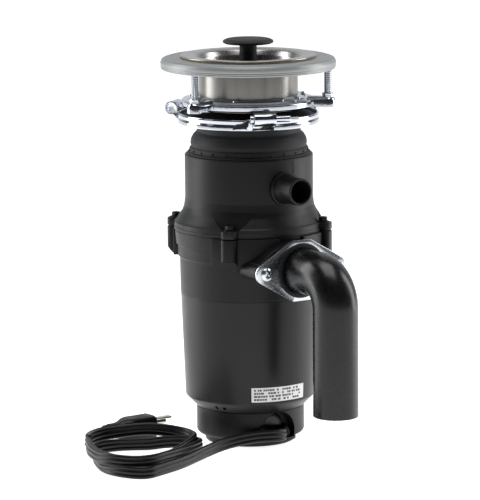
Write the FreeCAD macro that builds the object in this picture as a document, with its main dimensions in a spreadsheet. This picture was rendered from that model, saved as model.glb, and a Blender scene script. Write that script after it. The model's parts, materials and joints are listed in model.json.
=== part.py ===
"""Continuous-feed kitchen garbage disposer with a three-screw sink mount.

Millimetres. The origin is the centre of the foot's underside, on the rotor's axis. +Z is up
and +X is the way the waste leaves through the discharge elbow.
"""
import FreeCAD, Part
import math
import os
import re
import Sketcher

doc = FreeCAD.newDocument("garbage_disposer")
sheet = doc.addObject("Spreadsheet::Sheet", "dims")

DIMS = {
    # foot, base and motor can
    "foot_radius": 39.0, "foot_top": 7.0, "foot_floor": 3.0, "base_radius": 46.4,
    "base_top": 31.2, "shell": 2.5, "post_circle": 24.0, "post_radius": 5.6,
    "alcove_radius": 18.2, "alcove_rise": 5.6, "alcove_back": 33.0, "alcove_wall": 2.0,
    "cover_radius": 11.2, "cover_proud": 2.4, "cover_z": 17.2, "post_screw": 2.0,
    "vent_radius": 1.6, "vent_reach": 46.0, "vent_z": 35.4,
    "button_x": -20.0, "button_y": -6.0, "button_radius": 3.8,
    "can_low_radius": 55.8, "can_low_z": 40.6, "can_top_radius": 59.1,
    "can_top": 129.5, "can_wall": 2.0,
    # drain housing
    "band_z": 161.0, "band_radius": 59.9, "seam_radius": 63.9, "seam_z": 184.5,
    "housing_inside": 56.4, "drain_floor": 136.0, "gasket_thick": 0.8,
    "lug_circle": 65.3, "lug_radius": 7.0, "lug_bottom": 161.0, "lug_top": 191.9,
    "lug_web": 57.5, "web_reach": 65.2, "cheek_reach": 66.2, "cheek_low": 156.0,
    "rib_reach": 64.2, "rib_root": 58.0, "rib_thick": 2.2, "seat_radius": 7.2,
    "boss_radius": 24.0, "boss_back": 54.0, "screw_well": 2.5,
    # hopper
    "hopper_flange_radius": 64.5, "flange_top": 192.0, "flare_radius": 60.4, "flare_z": 196.7,
    "crease_radius": 57.7, "crease_z": 200.9, "throat_radius": 54.2, "throat_z": 202.0,
    "liner_wall": 2.6, "hopper_radius": 54.9, "hopper_inside": 51.9,
    "hopper_neck_z": 212.0, "hopper_top": 249.6, "nipple_z": 225.0, "nipple_reach": 80.0,
    "nipple_radius": 11.6, "nipple_bore": 9.7,
    # discharge
    "outlet_z": 158.6, "boss_face": 74.0, "outlet_bore": 16.5, "elbow_radius": 19.05,
    "elbow_wall": 2.2, "elbow_bend": 26.0, "elbow_leg_x": 131.0, "elbow_bottom": 42.0,
    "elbow_lip": 2.3, "elbow_lip_radius": 22.6, "plate_thick": 2.5, "plate_screw": 35.5,
    # grinding parts
    "plate_z": 168.0, "turntable_radius": 53.2, "turntable_thick": 2.5, "pivot_circle": 30.0,
    "rivet_radius": 4.0, "grind_inside": 53.8, "grind_outside": 56.2,
    # motor
    "shaft_radius": 6.35, "running_gap": 0.05, "core_radius": 37.0, "core_low": 70.0,
    "core_high": 106.0, "ring_inside": 46.5, "ring_outside": 50.0, "bell_radius": 53.0,
    "bell_low": 42.0, "bell_high": 122.0, "bell_thick": 4.0, "commutator_radius": 12.0,
    "bolt_circle": 51.9,
    # sink mount
    "tube_radius": 42.0, "tube_inside": 41.0, "tube_bottom": 288.0, "rim_radius": 58.2,
    "rim_inside": 44.85, "rim_top": 334.4, "ring_top": 332.0, "ring_radius": 75.0,
    "ring_bottom": 322.5, "ring_sheet": 2.4, "screw_circle": 68.7, "screw_radius": 3.15,
    "arm_low": 290.5, "arm_high": 299.5, "mount_rim": 57.6,
    # lock ring and rubber mount
    "lip_radius": 60.8, "lip_z": 275.4, "lock_top": 285.0, "ear_radius": 6.0,
    "ear_length": 17.0, "ear_circle": 67.0, "ear_z": 286.6,
    # stopper
    "knob_radius": 21.8, "knob_top": 348.5, "knob_low": 343.5, "stem_radius": 7.35,
    "plug_disc_radius": 36.0, "seal_radius": 40.6, "plug_disc_z": 312.0,
    # supply cord
    "cord_radius": 4.0, "coil_top": 21.6,
    "cap_half": 10.0, "cap_width": 22.0, "cap_length": 22.0,
}
for row, (alias, number) in enumerate(DIMS.items(), start=1):
    sheet.set("A%d" % row, alias)
    sheet.set("B%d" % row, str(number))
    sheet.setAlias("B%d" % row, alias)
doc.recompute()

ALONG_X = (0, 90, 0)
LUG_ANGLES = (-47.7, 42.3, 132.3, -137.7)
WEB_SWEEP = 32.0
CHEEK_STARTS, CHEEK_SWEEP = (-44.5, 10.0), 34.5
RIB_ANGLES = (72, 81, 90, 99, 108, 162, 171, 180, -171, -162)
VENT_ANGLES = (-67.4, -58.9)
ARM_ANGLES = (-73.9, 46.1, 166.1)
EAR_ANGLES = (-21.5, 98.5, -141.5)
IMPELLER_ANGLES = {"impeller_a": 70.0, "impeller_b": 250.0}
POST_ANGLES = (30, 150, 270)
BOLT_ANGLES = (60, 240)
ALCOVE_ANGLE = -1.5
COIL_HEADING = -33.0
CAP_HEADING = 92.0
LABEL_START, LABEL_SWEEP = -32.0, 52.0
MAGNET_STARTS, MAGNET_SWEEP = (-65, 115), 130.0

nodes = {}


# ------------------------------------------------------------------ helpers

def bound(text):
    """The expression with every plain word turned into a cell of the sheet."""
    return re.sub(r"(?<![\w.])([a-z]\w*)(?![\w(])", r"dims.\1", text)


def value(text):
    return float(sheet.evalExpression(bound(text)))


def place(item, at=("0", "0", "0"), turn=(0, 0, 0)):
    """Stand an object at a point bound to the sheet, turned by yaw, pitch and roll."""
    item.Placement = FreeCAD.Placement(FreeCAD.Vector(), FreeCAD.Rotation(*turn))
    for axis, text in zip("xyz", at):
        item.setExpression("Placement.Base." + axis, bound(text))
    return item


def rod(radius, length, at=("0", "0", "0"), turn=(0, 0, 0)):
    item = doc.addObject("Part::Cylinder", "rod")
    item.setExpression("Radius", bound(radius))
    item.setExpression("Height", bound(length))
    return place(item, at, turn)


def cone(low, high, length, at=("0", "0", "0"), turn=(0, 0, 0)):
    item = doc.addObject("Part::Cone", "cone")
    item.setExpression("Radius1", bound(low))
    item.setExpression("Radius2", bound(high))
    item.setExpression("Height", bound(length))
    return place(item, at, turn)


def block(size, at, turn=(0, 0, 0)):
    """A box of the given size whose corner stands at the given point."""
    item = doc.addObject("Part::Box", "block")
    for prop, text in zip(("Length", "Width", "Height"), size):
        item.setExpression(prop, bound(text))
    return place(item, at, turn)


def pie(radius, length, low, start, sweep):
    """A slice of a disc about Z that opens from one angle through a sweep, in degrees."""
    item = doc.addObject("Part::Cylinder", "pie")
    item.setExpression("Radius", bound(radius))
    item.setExpression("Height", bound(length))
    item.Angle = sweep
    return place(item, ("0", "0", low), (start, 0, 0))


def radial_block(size, radius, low, angle):
    """A box whose inner face is centred at a radius and turned to an angle about Z."""
    across, half = "(%s)" % radius, "(%s) / 2" % size[1]
    x_text = "%s * cos(%g) + %s * sin(%g)" % (across, angle, half, angle)
    y_text = "%s * sin(%g) - %s * cos(%g)" % (across, angle, half, angle)
    return block(size, (x_text, y_text, low), (angle, 0, 0))


def polar(radius, angle, height="0"):
    return ("(%s) * cos(%g)" % (radius, angle), "(%s) * sin(%g)" % (radius, angle), height)


def outline_sketch(body, plane, points):
    """A closed outline of straight edges whose corners are bound to the sheet."""
    sketch = body.newObject("Sketcher::SketchObject", "outline")
    origin = [f for f in body.Origin.OriginFeatures if f.Role == plane][0]
    sketch.AttachmentSupport = (origin, [""])
    sketch.MapMode = "FlatFace"
    corners = [FreeCAD.Vector(value(u), value(v), 0) for u, v in points]
    for start, end in zip(corners, corners[1:] + corners[:1]):
        sketch.addGeometry(Part.LineSegment(start, end), False)
    count = len(points)
    for index in range(count):
        sketch.addConstraint(Sketcher.Constraint("Coincident", index, 2, (index + 1) % count, 1))
    for index, texts in enumerate(points):
        for kind, axis, text in (("DistanceX", -2, texts[0]), ("DistanceY", -1, texts[1])):
            number = value(text)
            if abs(number) < 1e-9:
                sketch.addConstraint(Sketcher.Constraint("PointOnObject", index, 1, axis))
                continue
            made = sketch.addConstraint(Sketcher.Constraint(kind, -1, 1, index, 1, number))
            sketch.setExpression("Constraints[%d]" % made, bound(text))
    return sketch


def turned(points):
    """A solid of revolution about Z; each corner is a radius and a height."""
    body = doc.addObject("PartDesign::Body", "turned")
    sketch = outline_sketch(body, "XZ_Plane", points)
    feature = body.newObject("PartDesign::Revolution", "revolution")
    feature.Profile = sketch
    feature.ReferenceAxis = (sketch, ["V_Axis"])
    feature.Angle = 360
    sketch.Visibility = False
    return body


def padded(plane, points, depth, at=("0", "0", "0"), turn=(0, 0, 0)):
    """A plate of the given outline, padded along its plane's normal."""
    body = doc.addObject("PartDesign::Body", "padded")
    sketch = outline_sketch(body, plane, points)
    feature = body.newObject("PartDesign::Pad", "pad")
    feature.Profile = sketch
    feature.setExpression("Length", bound(depth))
    return place(body, at, turn)


def tube(outer, inner, low, high):
    return turned([(inner, low), (outer, low), (outer, high), (inner, high)])


def group(items):
    item = doc.addObject("Part::Compound", "group")
    item.Links = items
    return item


def join(*items):
    item = doc.addObject("Part::MultiFuse", "join")
    item.Shapes = list(items)
    return item


def cut(base, *tools):
    item = doc.addObject("Part::Cut", "cut")
    item.Base = base
    item.Tool = tools[0] if len(tools) == 1 else join(*tools)
    return item


def keep(name, item):
    """Register an object as the sub-part of this name."""
    item.Label = name
    nodes[name] = item
    return item


# ------------------------------------------------------------------ base and motor

def make_end_cap():
    """Moulded base with a closed foot, a cord alcove in its side and three screw posts."""
    step = "foot_top + 3"
    shell = turned([
        ("0", "0"), ("foot_radius - 2", "0"), ("foot_radius", "2"),
        ("foot_radius", "foot_top"), ("base_radius - 3", "foot_top"), ("base_radius", step),
        ("base_radius", "base_top"), ("base_radius - shell", "base_top"),
        ("base_radius - shell", step), ("foot_radius - shell", step),
        ("foot_radius - shell", "foot_floor"), ("0", "foot_floor")])
    yaw = (ALCOVE_ANGLE, 90, 0)
    arch_z, liner = "foot_top + alcove_rise", "alcove_radius + alcove_wall"
    liner_back = "alcove_back - alcove_wall"
    walls = join(
        rod(liner, "14", polar(liner_back, ALCOVE_ANGLE, arch_z), yaw),
        radial_block(("14", "(%s) * 2" % liner, "alcove_rise + shell"), liner_back,
                     "foot_top - shell", ALCOVE_ANGLE))
    hollow = join(
        rod("alcove_radius", "20", polar("alcove_back", ALCOVE_ANGLE, arch_z), yaw),
        radial_block(("20", "alcove_radius * 2", "alcove_rise"), "alcove_back", "foot_top",
                     ALCOVE_ANGLE))
    below = rod("base_radius", "20", ("0", "0", "foot_top - 20"))
    limit = join(rod("base_radius", "base_top - foot_top", ("0", "0", "foot_top")),
                 rod("foot_radius", "shell", ("0", "0", "foot_top - shell")))
    inside = doc.addObject("Part::Common", "inside")
    inside.Base, inside.Tool = walls, limit
    posts, recesses, bores = [], [], []
    for angle in POST_ANGLES:
        posts.append(rod("post_radius", "bell_low - foot_floor",
                         polar("post_circle", angle, "foot_floor")))
        recesses.append(rod("4", "4.4", polar("post_circle", angle)))
        bores.append(rod("post_screw", "60", polar("post_circle", angle)))
    button_hole = rod("button_radius + 0.4", "12", ("button_x", "button_y", "0"))
    cover = rod("cover_radius", "alcove_wall + cover_proud",
                polar(liner_back, ALCOVE_ANGLE, "cover_z"), yaw)
    solid = join(cut(join(shell, inside, *posts), cut(hollow, below)), cover)
    keep("end_cap", cut(solid, gland_axis_rod("7.05", "14"), button_hole, *recesses, *bores))


def make_motor_can():
    """Drawn can with a chamfered bottom, in which there are two small vents."""
    shell = turned([
        ("base_radius - can_wall", "base_top"), ("base_radius", "base_top"),
        ("can_low_radius", "can_low_z"), ("can_top_radius", "can_top"),
        ("can_top_radius - can_wall", "can_top"),
        ("can_low_radius - can_wall", "can_low_z + 0.8")])
    vents = [rod("vent_radius", "8", polar("vent_reach", angle, "vent_z"), (angle, 90, 0))
             for angle in VENT_ANGLES]
    keep("motor_can", cut(shell, *vents))


def make_label():
    """Thin patch on the can, lying on its drafted side."""
    skin = turned([
        ("can_low_radius + 0.56", "44"), ("can_low_radius + 0.96", "44"),
        ("can_low_radius + 1.43", "56.5"), ("can_low_radius + 1.03", "56.5")])
    patch = doc.addObject("Part::Common", "patch")
    patch.Base = skin
    patch.Tool = pie("can_low_radius + 10", "20", "40", LABEL_START, LABEL_SWEEP)
    keep("label", patch)


def make_end_bells():
    """Cast bearing brackets: the lower one in the can, the upper one under the housing."""
    low = turned([
        ("10", "bell_low - 8"), ("14", "bell_low - 8"), ("14", "bell_low"),
        ("bell_radius", "bell_low"), ("bell_radius", "bell_low + bell_thick"),
        ("10", "bell_low + bell_thick")])
    posts = [rod("2", "20", polar("post_circle", angle, "bell_low - 5"))
             for angle in POST_ANGLES]
    bolts = [rod("1.85", "20", polar("bolt_circle", angle, "bell_low - 5"))
             for angle in BOLT_ANGLES]
    keep("lower_end_bell", cut(low, *posts, *bolts))
    high = turned([
        ("10", "bell_high"), ("56", "bell_high"), ("56", "bell_high + 7"),
        ("16", "bell_high + 7"), ("16", "drain_floor + 2"), ("10", "drain_floor + 2")])
    bolts = [rod("1.85", "20", polar("bolt_circle", angle, "bell_high - 5"))
             for angle in BOLT_ANGLES]
    keep("upper_end_bell", cut(high, *bolts))


def make_bearings():
    bore = "shaft_radius + running_gap"
    keep("lower_bushing", tube("10", bore, "bell_low - 8", "bell_low + bell_thick"))
    keep("upper_bushing", tube("10", bore, "bell_high", "drain_floor + 2"))
    keep("shaft_seal", turned([
        (bore, "drain_floor + 2"), ("13", "drain_floor + 2"), ("13", "drain_floor + 6"),
        ("9", "drain_floor + 9"), (bore, "drain_floor + 9")]))


def make_field():
    """Steel flux ring, two arc magnets inside it and the long bolts beside it."""
    keep("flux_ring", tube("ring_outside", "ring_inside", "bell_low + bell_thick", "bell_high"))
    keep("field_magnets", group([
        cut(pie("ring_inside", "core_high - core_low + 8", "core_low - 4", start, MAGNET_SWEEP),
            rod("core_radius + 2.5", "80", ("0", "0", "core_low - 10")))
        for start in MAGNET_STARTS]))
    bolts = []
    for angle in BOLT_ANGLES:
        spot = polar("bolt_circle", angle, "bell_low + bell_thick")
        bolts.append(rod("1.8", "bell_high - bell_low - bell_thick", spot))
    keep("through_bolts", group(bolts))


def make_brush_gear():
    """Insulating plate with two brass boxes, carbon brushes and their leaf springs."""
    low = "bell_low + bell_thick"
    keep("brush_plate", tube("ring_inside - 1", "commutator_radius + 2", low, low + " + 2.5"))
    boxes, brushes, springs = [], [], []
    for angle in (90, 270):
        case = radial_block(("16", "12", "12"), "commutator_radius + 2", low + " + 2.5", angle)
        slot = radial_block(("18", "8", "8"), "commutator_radius + 1", low + " + 4.5", angle)
        boxes.append(cut(case, slot))
        brushes.append(radial_block(("13", "7.9", "7.9"), "commutator_radius + 0.1",
                                    low + " + 4.55", angle))
        springs.append(join(
            radial_block(("1", "7", "7"), "commutator_radius + 15", low + " + 5", angle),
            radial_block(("1.9", "4", "1"), "commutator_radius + 13.1", low + " + 8", angle)))
    keep("brush_holders", group(boxes))
    keep("brushes", group(brushes))
    keep("brush_springs", group(springs))


def make_rotor():
    keep("shaft", join(
        rod("shaft_radius", "plate_z - bell_low + 6", ("0", "0", "bell_low - 6")),
        rod("shaft_radius - 1.5", "12", ("0", "0", "plate_z"))))
    drum = tube("core_radius", "shaft_radius", "core_low", "core_high")
    slots = [radial_block(("18", "4", "60"), "core_radius - 14", "core_low - 5", 30 * step)
             for step in range(12)]
    keep("armature_core", cut(drum, *slots))
    ends = [
        turned([("16", "core_low - 7"), ("31", "core_low - 7"), ("34", "core_low - 3"),
                ("34", "core_low"), ("14", "core_low"), ("14", "core_low - 4")]),
        turned([("14", "core_high"), ("34", "core_high"), ("34", "core_high + 3"),
                ("31", "core_high + 7"), ("16", "core_high + 7"), ("14", "core_high + 4")])]
    bars = [radial_block(("12", "3.8", "core_high - core_low"), "core_radius - 14", "core_low",
                         30 * step) for step in range(12)]
    keep("armature_windings", join(*ends, *bars))
    keep("commutator", tube("commutator_radius", "shaft_radius", "bell_low + 6", "core_low - 7"))


def make_grinding_parts():
    """Shredder ring, turntable, its nut and rivets, and the two swivelling impellers."""
    top = "plate_z + turntable_thick"
    ring = tube("grind_outside", "grind_inside", "plate_z - 4", "seam_z + 8")
    teeth = [radial_block(("4", "3", "20"), "grind_inside - 1", "seam_z - 9", 15 * step)
             for step in range(24)]
    keep("grind_ring", cut(ring, *teeth))
    disc = tube("turntable_radius", "shaft_radius - 1.5", "plate_z", top)
    drains = [rod("2.5", "8", polar(reach, 30 * step + shift, "plate_z - 3"))
              for reach, shift in (("44", 0), ("20", 15)) for step in range(12)]
    pins = [rod("rivet_radius", "8", polar("pivot_circle", angle, "plate_z - 3"))
            for angle in IMPELLER_ANGLES.values()]
    keep("turntable", cut(disc, *drains, *pins))
    nut = doc.addObject("Part::Prism", "nut")
    nut.Polygon = 6
    nut.setExpression("Circumradius", bound("8.2"))
    nut.setExpression("Height", bound("6"))
    place(nut, ("0", "0", top))
    keep("turntable_nut", cut(nut, rod("shaft_radius - 1.5", "20", ("0", "0", "plate_z"))))
    rivets = []
    for angle in IMPELLER_ANGLES.values():
        rivets.append(join(
            rod("rivet_radius", "turntable_thick + 9", polar("pivot_circle", angle, "plate_z")),
            rod("rivet_radius + 2", "1.6", polar("pivot_circle", angle, top + " + 8.4"))))
    keep("impeller_rivets", group(rivets))
    for name, angle in IMPELLER_ANGLES.items():
        spot = polar("pivot_circle", angle, top + " + 0.2")
        bar = join(
            rod("7", "5", spot),
            radial_block(("16", "14", "5"), "pivot_circle", top + " + 0.2", angle),
            radial_block(("4", "14", "8"), "pivot_circle + 15", top + " + 0.2", angle))
        hole = rod("rivet_radius + running_gap", "12", polar("pivot_circle", angle, "plate_z"))
        keep(name, cut(bar, hole))


# ------------------------------------------------------------------ wet end

def make_lower_housing():
    """Drain chamber with four lug columns and the outlet boss, and the bands, cheeks and ribs
    that stand round it."""
    shell = turned([
        ("housing_inside", "can_top"), ("can_top_radius", "can_top"),
        ("band_radius", "band_z"), ("band_radius + 1.6", "band_z + 2"),
        ("seam_radius - 1.1", "band_z + 11"), ("seam_radius", "seam_z"),
        ("grind_outside", "seam_z"), ("grind_outside", "plate_z - 4"),
        ("housing_inside - 2", "plate_z - 4"), ("housing_inside - 2", "drain_floor"),
        ("16.1", "drain_floor"), ("16.1", "drain_floor - 4"),
        ("housing_inside", "drain_floor - 4")])
    columns = [rod("lug_radius", "seam_z - lug_bottom", polar("lug_circle", angle, "lug_bottom"))
               for angle in LUG_ANGLES]
    webs = [radial_block(("lug_circle - lug_web", "lug_radius * 2", "seam_z - lug_bottom"),
                         "lug_web", "lug_bottom", angle) for angle in LUG_ANGLES]
    fillers = [pie("web_reach", "seam_z - lug_bottom", "lug_bottom", angle - WEB_SWEEP / 2,
                   WEB_SWEEP) for angle in LUG_ANGLES]
    cheeks = [pie("cheek_reach", "seam_z - cheek_low", "cheek_low", start, CHEEK_SWEEP)
              for start in CHEEK_STARTS]
    ribs = [radial_block(("rib_reach - rib_root", "rib_thick", "20"), "rib_root", "band_z + 2",
                         angle) for angle in RIB_ANGLES]
    boss = rod("boss_radius", "boss_face - boss_back", ("boss_back", "0", "outlet_z"), ALONG_X)
    seats = [rod("seat_radius", "boss_face - boss_back + 2",
                 ("boss_back - 2", sign + "plate_screw", "outlet_z"), ALONG_X)
             for sign in ("", "-")]
    bridge = block(("9", "plate_screw * 2", "12"),
                   ("boss_face - 9", "-plate_screw", "outlet_z - 6"))
    bore = rod("outlet_bore", "60", ("30", "0", "outlet_z"), ALONG_X)
    chamber = rod("housing_inside - 2", "plate_z - 4 - drain_floor", ("0", "0", "drain_floor"))
    screws = [rod("2.6", "14", ("boss_face - 13", sign + "plate_screw", "outlet_z"), ALONG_X)
              for sign in ("", "-")]
    wells = [rod("screw_well", "30", polar("lug_circle", angle, "seam_z - 22"))
             for angle in LUG_ANGLES]
    upper = rod("grind_outside", "30", ("0", "0", "plate_z - 4"))
    solid = join(shell, boss, bridge, *columns, *webs, *seats)
    keep("lower_housing", cut(solid, bore, chamber, upper, *screws, *wells))
    keep("housing_bands", cut(join(*fillers, *cheeks, *ribs), solid, bore, chamber, upper))


def make_hopper():
    """Grinding chamber with a bolted flange, a flared neck and the dishwasher inlet."""
    low = "seam_z + gasket_thick"
    shell = turned([
        ("grind_outside + 0.8", low), ("hopper_flange_radius", low),
        ("hopper_flange_radius", "flange_top"), ("hopper_flange_radius - 1", "flange_top + 1.6"),
        ("flare_radius", "flare_z"), ("crease_radius", "crease_z"),
        ("hopper_radius + 0.8", "crease_z + 4.1"),
        ("hopper_radius", "hopper_neck_z"), ("hopper_radius", "hopper_top - 1.2"),
        ("hopper_radius - 1.2", "hopper_top"), ("hopper_inside", "hopper_top"),
        ("hopper_inside", "hopper_neck_z"), ("throat_radius", "throat_z"),
        ("grind_outside + 0.8", "throat_z - 6")])
    liner = turned([
        ("grind_outside + 0.8", low), ("grind_outside + 0.8 + liner_wall", low),
        ("grind_outside + 0.8 + liner_wall", "flange_top + 0.5"), ("58.2", "throat_z - 5"),
        ("56.9", "throat_z - 1"), ("55.2", "throat_z + 5"), ("hopper_radius", "hopper_neck_z"),
        ("hopper_inside", "hopper_neck_z"), ("throat_radius", "throat_z"),
        ("grind_outside + 0.8", "throat_z - 6")])
    scallops = [cone("9", "21.5", "10.6", polar("lug_circle + 1.2", angle, "lug_top"))
                for angle in LUG_ANGLES]
    lugs = [rod("lug_radius", "lug_top - seam_z - gasket_thick", polar("lug_circle", a, low))
            for a in LUG_ANGLES]
    webs = [radial_block(("lug_circle - lug_web", "lug_radius * 2",
                          "lug_top - seam_z - gasket_thick"), "lug_web", low, angle)
            for angle in LUG_ANGLES]
    nipple = join(
        rod("nipple_radius + 2.1", "8", ("52", "0", "nipple_z"), ALONG_X),
        cone("nipple_radius + 2.1", "nipple_radius", "5", ("60", "0", "nipple_z"), ALONG_X),
        rod("nipple_radius", "nipple_reach - 65", ("65", "0", "nipple_z"), ALONG_X))
    inside = rod("hopper_inside", "hopper_top - hopper_neck_z + 4", ("0", "0", "hopper_neck_z - 1"))
    bore = rod("nipple_bore", "50", ("40", "0", "nipple_z"), ALONG_X)
    wells = [rod("screw_well", "20", polar("lug_circle", angle, low + " - 5"))
             for angle in LUG_ANGLES]
    keep("hopper", cut(join(cut(shell, *scallops), liner, nipple, *lugs, *webs),
                       inside, bore, *wells))


def make_joint_hardware():
    """Chamber gasket and the four screws that hold the hopper down."""
    ring = tube("seam_radius", "grind_outside + 0.8", "seam_z", "seam_z + gasket_thick")
    notches = [rod("screw_well", "4", polar("lug_circle", angle, "seam_z - 2"))
               for angle in LUG_ANGLES]
    keep("chamber_gasket", cut(ring, *notches))
    screws = []
    for angle in LUG_ANGLES:
        washer = rod("5.1", "0.9", polar("lug_circle", angle, "lug_top"))
        head = rod("3.9", "4.4", polar("lug_circle", angle, "lug_top"))
        socket = rod("1.7", "2.2", polar("lug_circle", angle, "lug_top + 2.4"))
        shank = rod("2.4", "24", polar("lug_circle", angle, "lug_top - 24"))
        screws.append(join(cut(head, socket), washer, shank))
    keep("housing_screws", group(screws))


def make_discharge():
    """Rubber gasket, clamp plate with two screws and the turnable elbow."""
    keep("discharge_gasket", cut(
        rod("23.5", "2", ("boss_face", "0", "outlet_z"), ALONG_X),
        rod("outlet_bore + 0.5", "10", ("boss_face - 4", "0", "outlet_z"), ALONG_X)))
    outline = [("46", "6"), ("8.5", "26"), ("-8.5", "26"), ("-46", "6"),
               ("-46", "-6"), ("-8.5", "-26"), ("8.5", "-26"), ("46", "-6")]
    plate_x = "boss_face + 2 + elbow_lip + 0.1"
    plate = padded("YZ_Plane", outline, "plate_thick", (plate_x, "0", "outlet_z"))
    holes = [rod("elbow_radius + 0.35", "10", ("boss_face", "0", "outlet_z"), ALONG_X)]
    holes += [rod("2.8", "12", ("boss_face", sign + "plate_screw", "outlet_z"), ALONG_X)
              for sign in ("", "-")]
    keep("flange_plate", cut(plate, *holes))
    screws = []
    for sign in ("", "-"):
        spot = (plate_x + " + plate_thick", sign + "plate_screw", "outlet_z")
        head = cone("5.6", "4.4", "3.2", spot, ALONG_X)
        slot = block(("3", "1.2", "12"),
                     (plate_x + " + plate_thick + 1.8", sign + "plate_screw - 0.6",
                      "outlet_z - 6"))
        shank = rod("2.5", "17", (plate_x + " + plate_thick - 17", sign + "plate_screw",
                                  "outlet_z"), ALONG_X)
        screws.append(join(cut(head, slot), shank))
    keep("flange_screws", group(screws))
    keep("elbow", elbow_shell())


def elbow_body(radius, start, bottom):
    """Solid bent bar of the elbow's path: out along X, round the bend and down."""
    bend_x = "elbow_leg_x - elbow_bend"
    bend = doc.addObject("Part::Torus", "bend")
    bend.setExpression("Radius1", bound("elbow_bend"))
    bend.setExpression("Radius2", bound(radius))
    bend.Angle3 = 90
    place(bend, (bend_x, "0", "outlet_z - elbow_bend"), (0, 0, 90))
    run = rod(radius, "%s - (%s)" % (bend_x, start), (start, "0", "outlet_z"), ALONG_X)
    leg = rod(radius, "outlet_z - elbow_bend - (%s)" % bottom, ("elbow_leg_x", "0", bottom))
    return join(run, bend, leg)


def elbow_shell():
    start = "boss_face + 2.05"
    lip = rod("elbow_lip_radius", "elbow_lip - 0.3", (start, "0", "outlet_z"), ALONG_X)
    outside = join(elbow_body("elbow_radius", start, "elbow_bottom"), lip)
    return cut(outside, elbow_body("elbow_radius - elbow_wall", start + " - 2",
                                   "elbow_bottom - 2"))


# ------------------------------------------------------------------ sink mount

def make_mount_cushion():
    """Rubber boot between the hopper's mouth and the sink flange."""
    skin = turned([
        ("40.5", "241"), ("hopper_inside - 0.2", "241"),
        ("hopper_inside - 0.2", "hopper_top"), ("50.5", "hopper_top"), ("50.5", "255"),
        ("49.3", "256.5"), ("49.9", "259"), ("49.2", "263"), ("47.5", "266.5"),
        ("44.5", "268.6"), ("44.5", "lip_z + 2.2"), ("57.4", "lip_z + 2.2"),
        ("58.4", "lip_z + 3.4"), ("58.4", "lip_z + 6.6"), ("43", "tube_bottom - 0.6"),
        ("40.5", "tube_bottom - 0.6")])
    nubs = [rod("1.4", "2.2", polar("49.6", 30 * step, "hopper_top + 2"), (30 * step, 90, 0))
            for step in range(12)]
    keep("mount_cushion", join(skin, *nubs))
    disc = tube("40.4", "7", "262", "264.5")
    slits = [radial_block(("24", "1.2", "8"), "6", "260", 45 * step) for step in range(8)]
    keep("splash_guard", cut(disc, *slits))


def make_lock_ring():
    """Chrome ring with a lipped band, three curled ears and a bolt through the first ear."""
    band = turned([
        ("47", "lip_z"), ("lip_radius - 1", "lip_z"), ("lip_radius", "lip_z + 1"),
        ("lip_radius", "lock_top"), ("lip_radius - 1.5", "lock_top"),
        ("lip_radius - 1.5", "lip_z + 1.6"), ("47", "lip_z + 1.6")])
    solids = [band]
    for angle in EAR_ANGLES:
        side = ("ear_circle * cos(%g) + ear_length / 2 * sin(%g)" % (angle, angle),
                "ear_circle * sin(%g) - ear_length / 2 * cos(%g)" % (angle, angle), "ear_z")
        turn = (angle + 90, 90, 0)
        curl = cut(rod("ear_radius", "ear_length", side, turn),
                   rod("ear_radius - 1.5", "ear_length", side, turn))
        strap = radial_block(("ear_circle - lip_radius", "ear_length", "1.5"), "lip_radius - 0.6",
                             "ear_z - ear_radius", angle)
        solids += [curl, strap]
    keep("lock_ring", join(*solids))
    angle = EAR_ANGLES[0]
    parts = []
    for radius, start, length in (("5.2", "-ear_length / 2 - 3", "3"),
                                  ("2.75", "-ear_length / 2 - 3", "34"), ("1.3", "22.4", "7.3")):
        spot = ("ear_circle * cos(%g) - (%s) * sin(%g)" % (angle, start, angle),
                "ear_circle * sin(%g) + (%s) * cos(%g)" % (angle, start, angle), "ear_z")
        parts.append(rod(radius, length, spot, (angle + 90, 90, 0)))
    keep("clamp_bolt", join(*parts))


def make_sink_flange():
    """Stainless flange, fibre gasket and the stamped backup ring."""
    keep("sink_flange", turned([
        ("tube_inside", "tube_bottom"), ("tube_radius", "tube_bottom"),
        ("tube_radius", "ring_bottom"), ("tube_radius + 1.6", "ring_bottom + 6"),
        ("rim_inside + 1.4", "rim_top - 1.2"), ("rim_radius", "rim_top - 1.2"),
        ("rim_radius", "rim_top - 0.3"), ("rim_radius - 0.6", "rim_top"),
        ("rim_inside", "rim_top"), ("tube_inside + 1.4", "ring_bottom + 6.2"),
        ("tube_inside", "ring_bottom + 0.4")]))
    keep("fibre_gasket", tube("rim_radius - 0.2", "rim_inside + 2", "ring_top", "rim_top - 1.2"))
    keep("backup_ring", turned([
        ("rim_inside + 1.5", "ring_top - ring_sheet"), ("ring_radius - 4", "ring_top - ring_sheet"),
        ("ring_radius - ring_sheet", "ring_top - 4.5"), ("ring_radius - ring_sheet", "ring_bottom"),
        ("ring_radius", "ring_bottom"), ("ring_radius", "ring_top - 3.2"),
        ("ring_radius - 1", "ring_top - 1"), ("ring_radius - 3.2", "ring_top"),
        ("rim_inside + 1.5", "ring_top")]))


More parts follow.
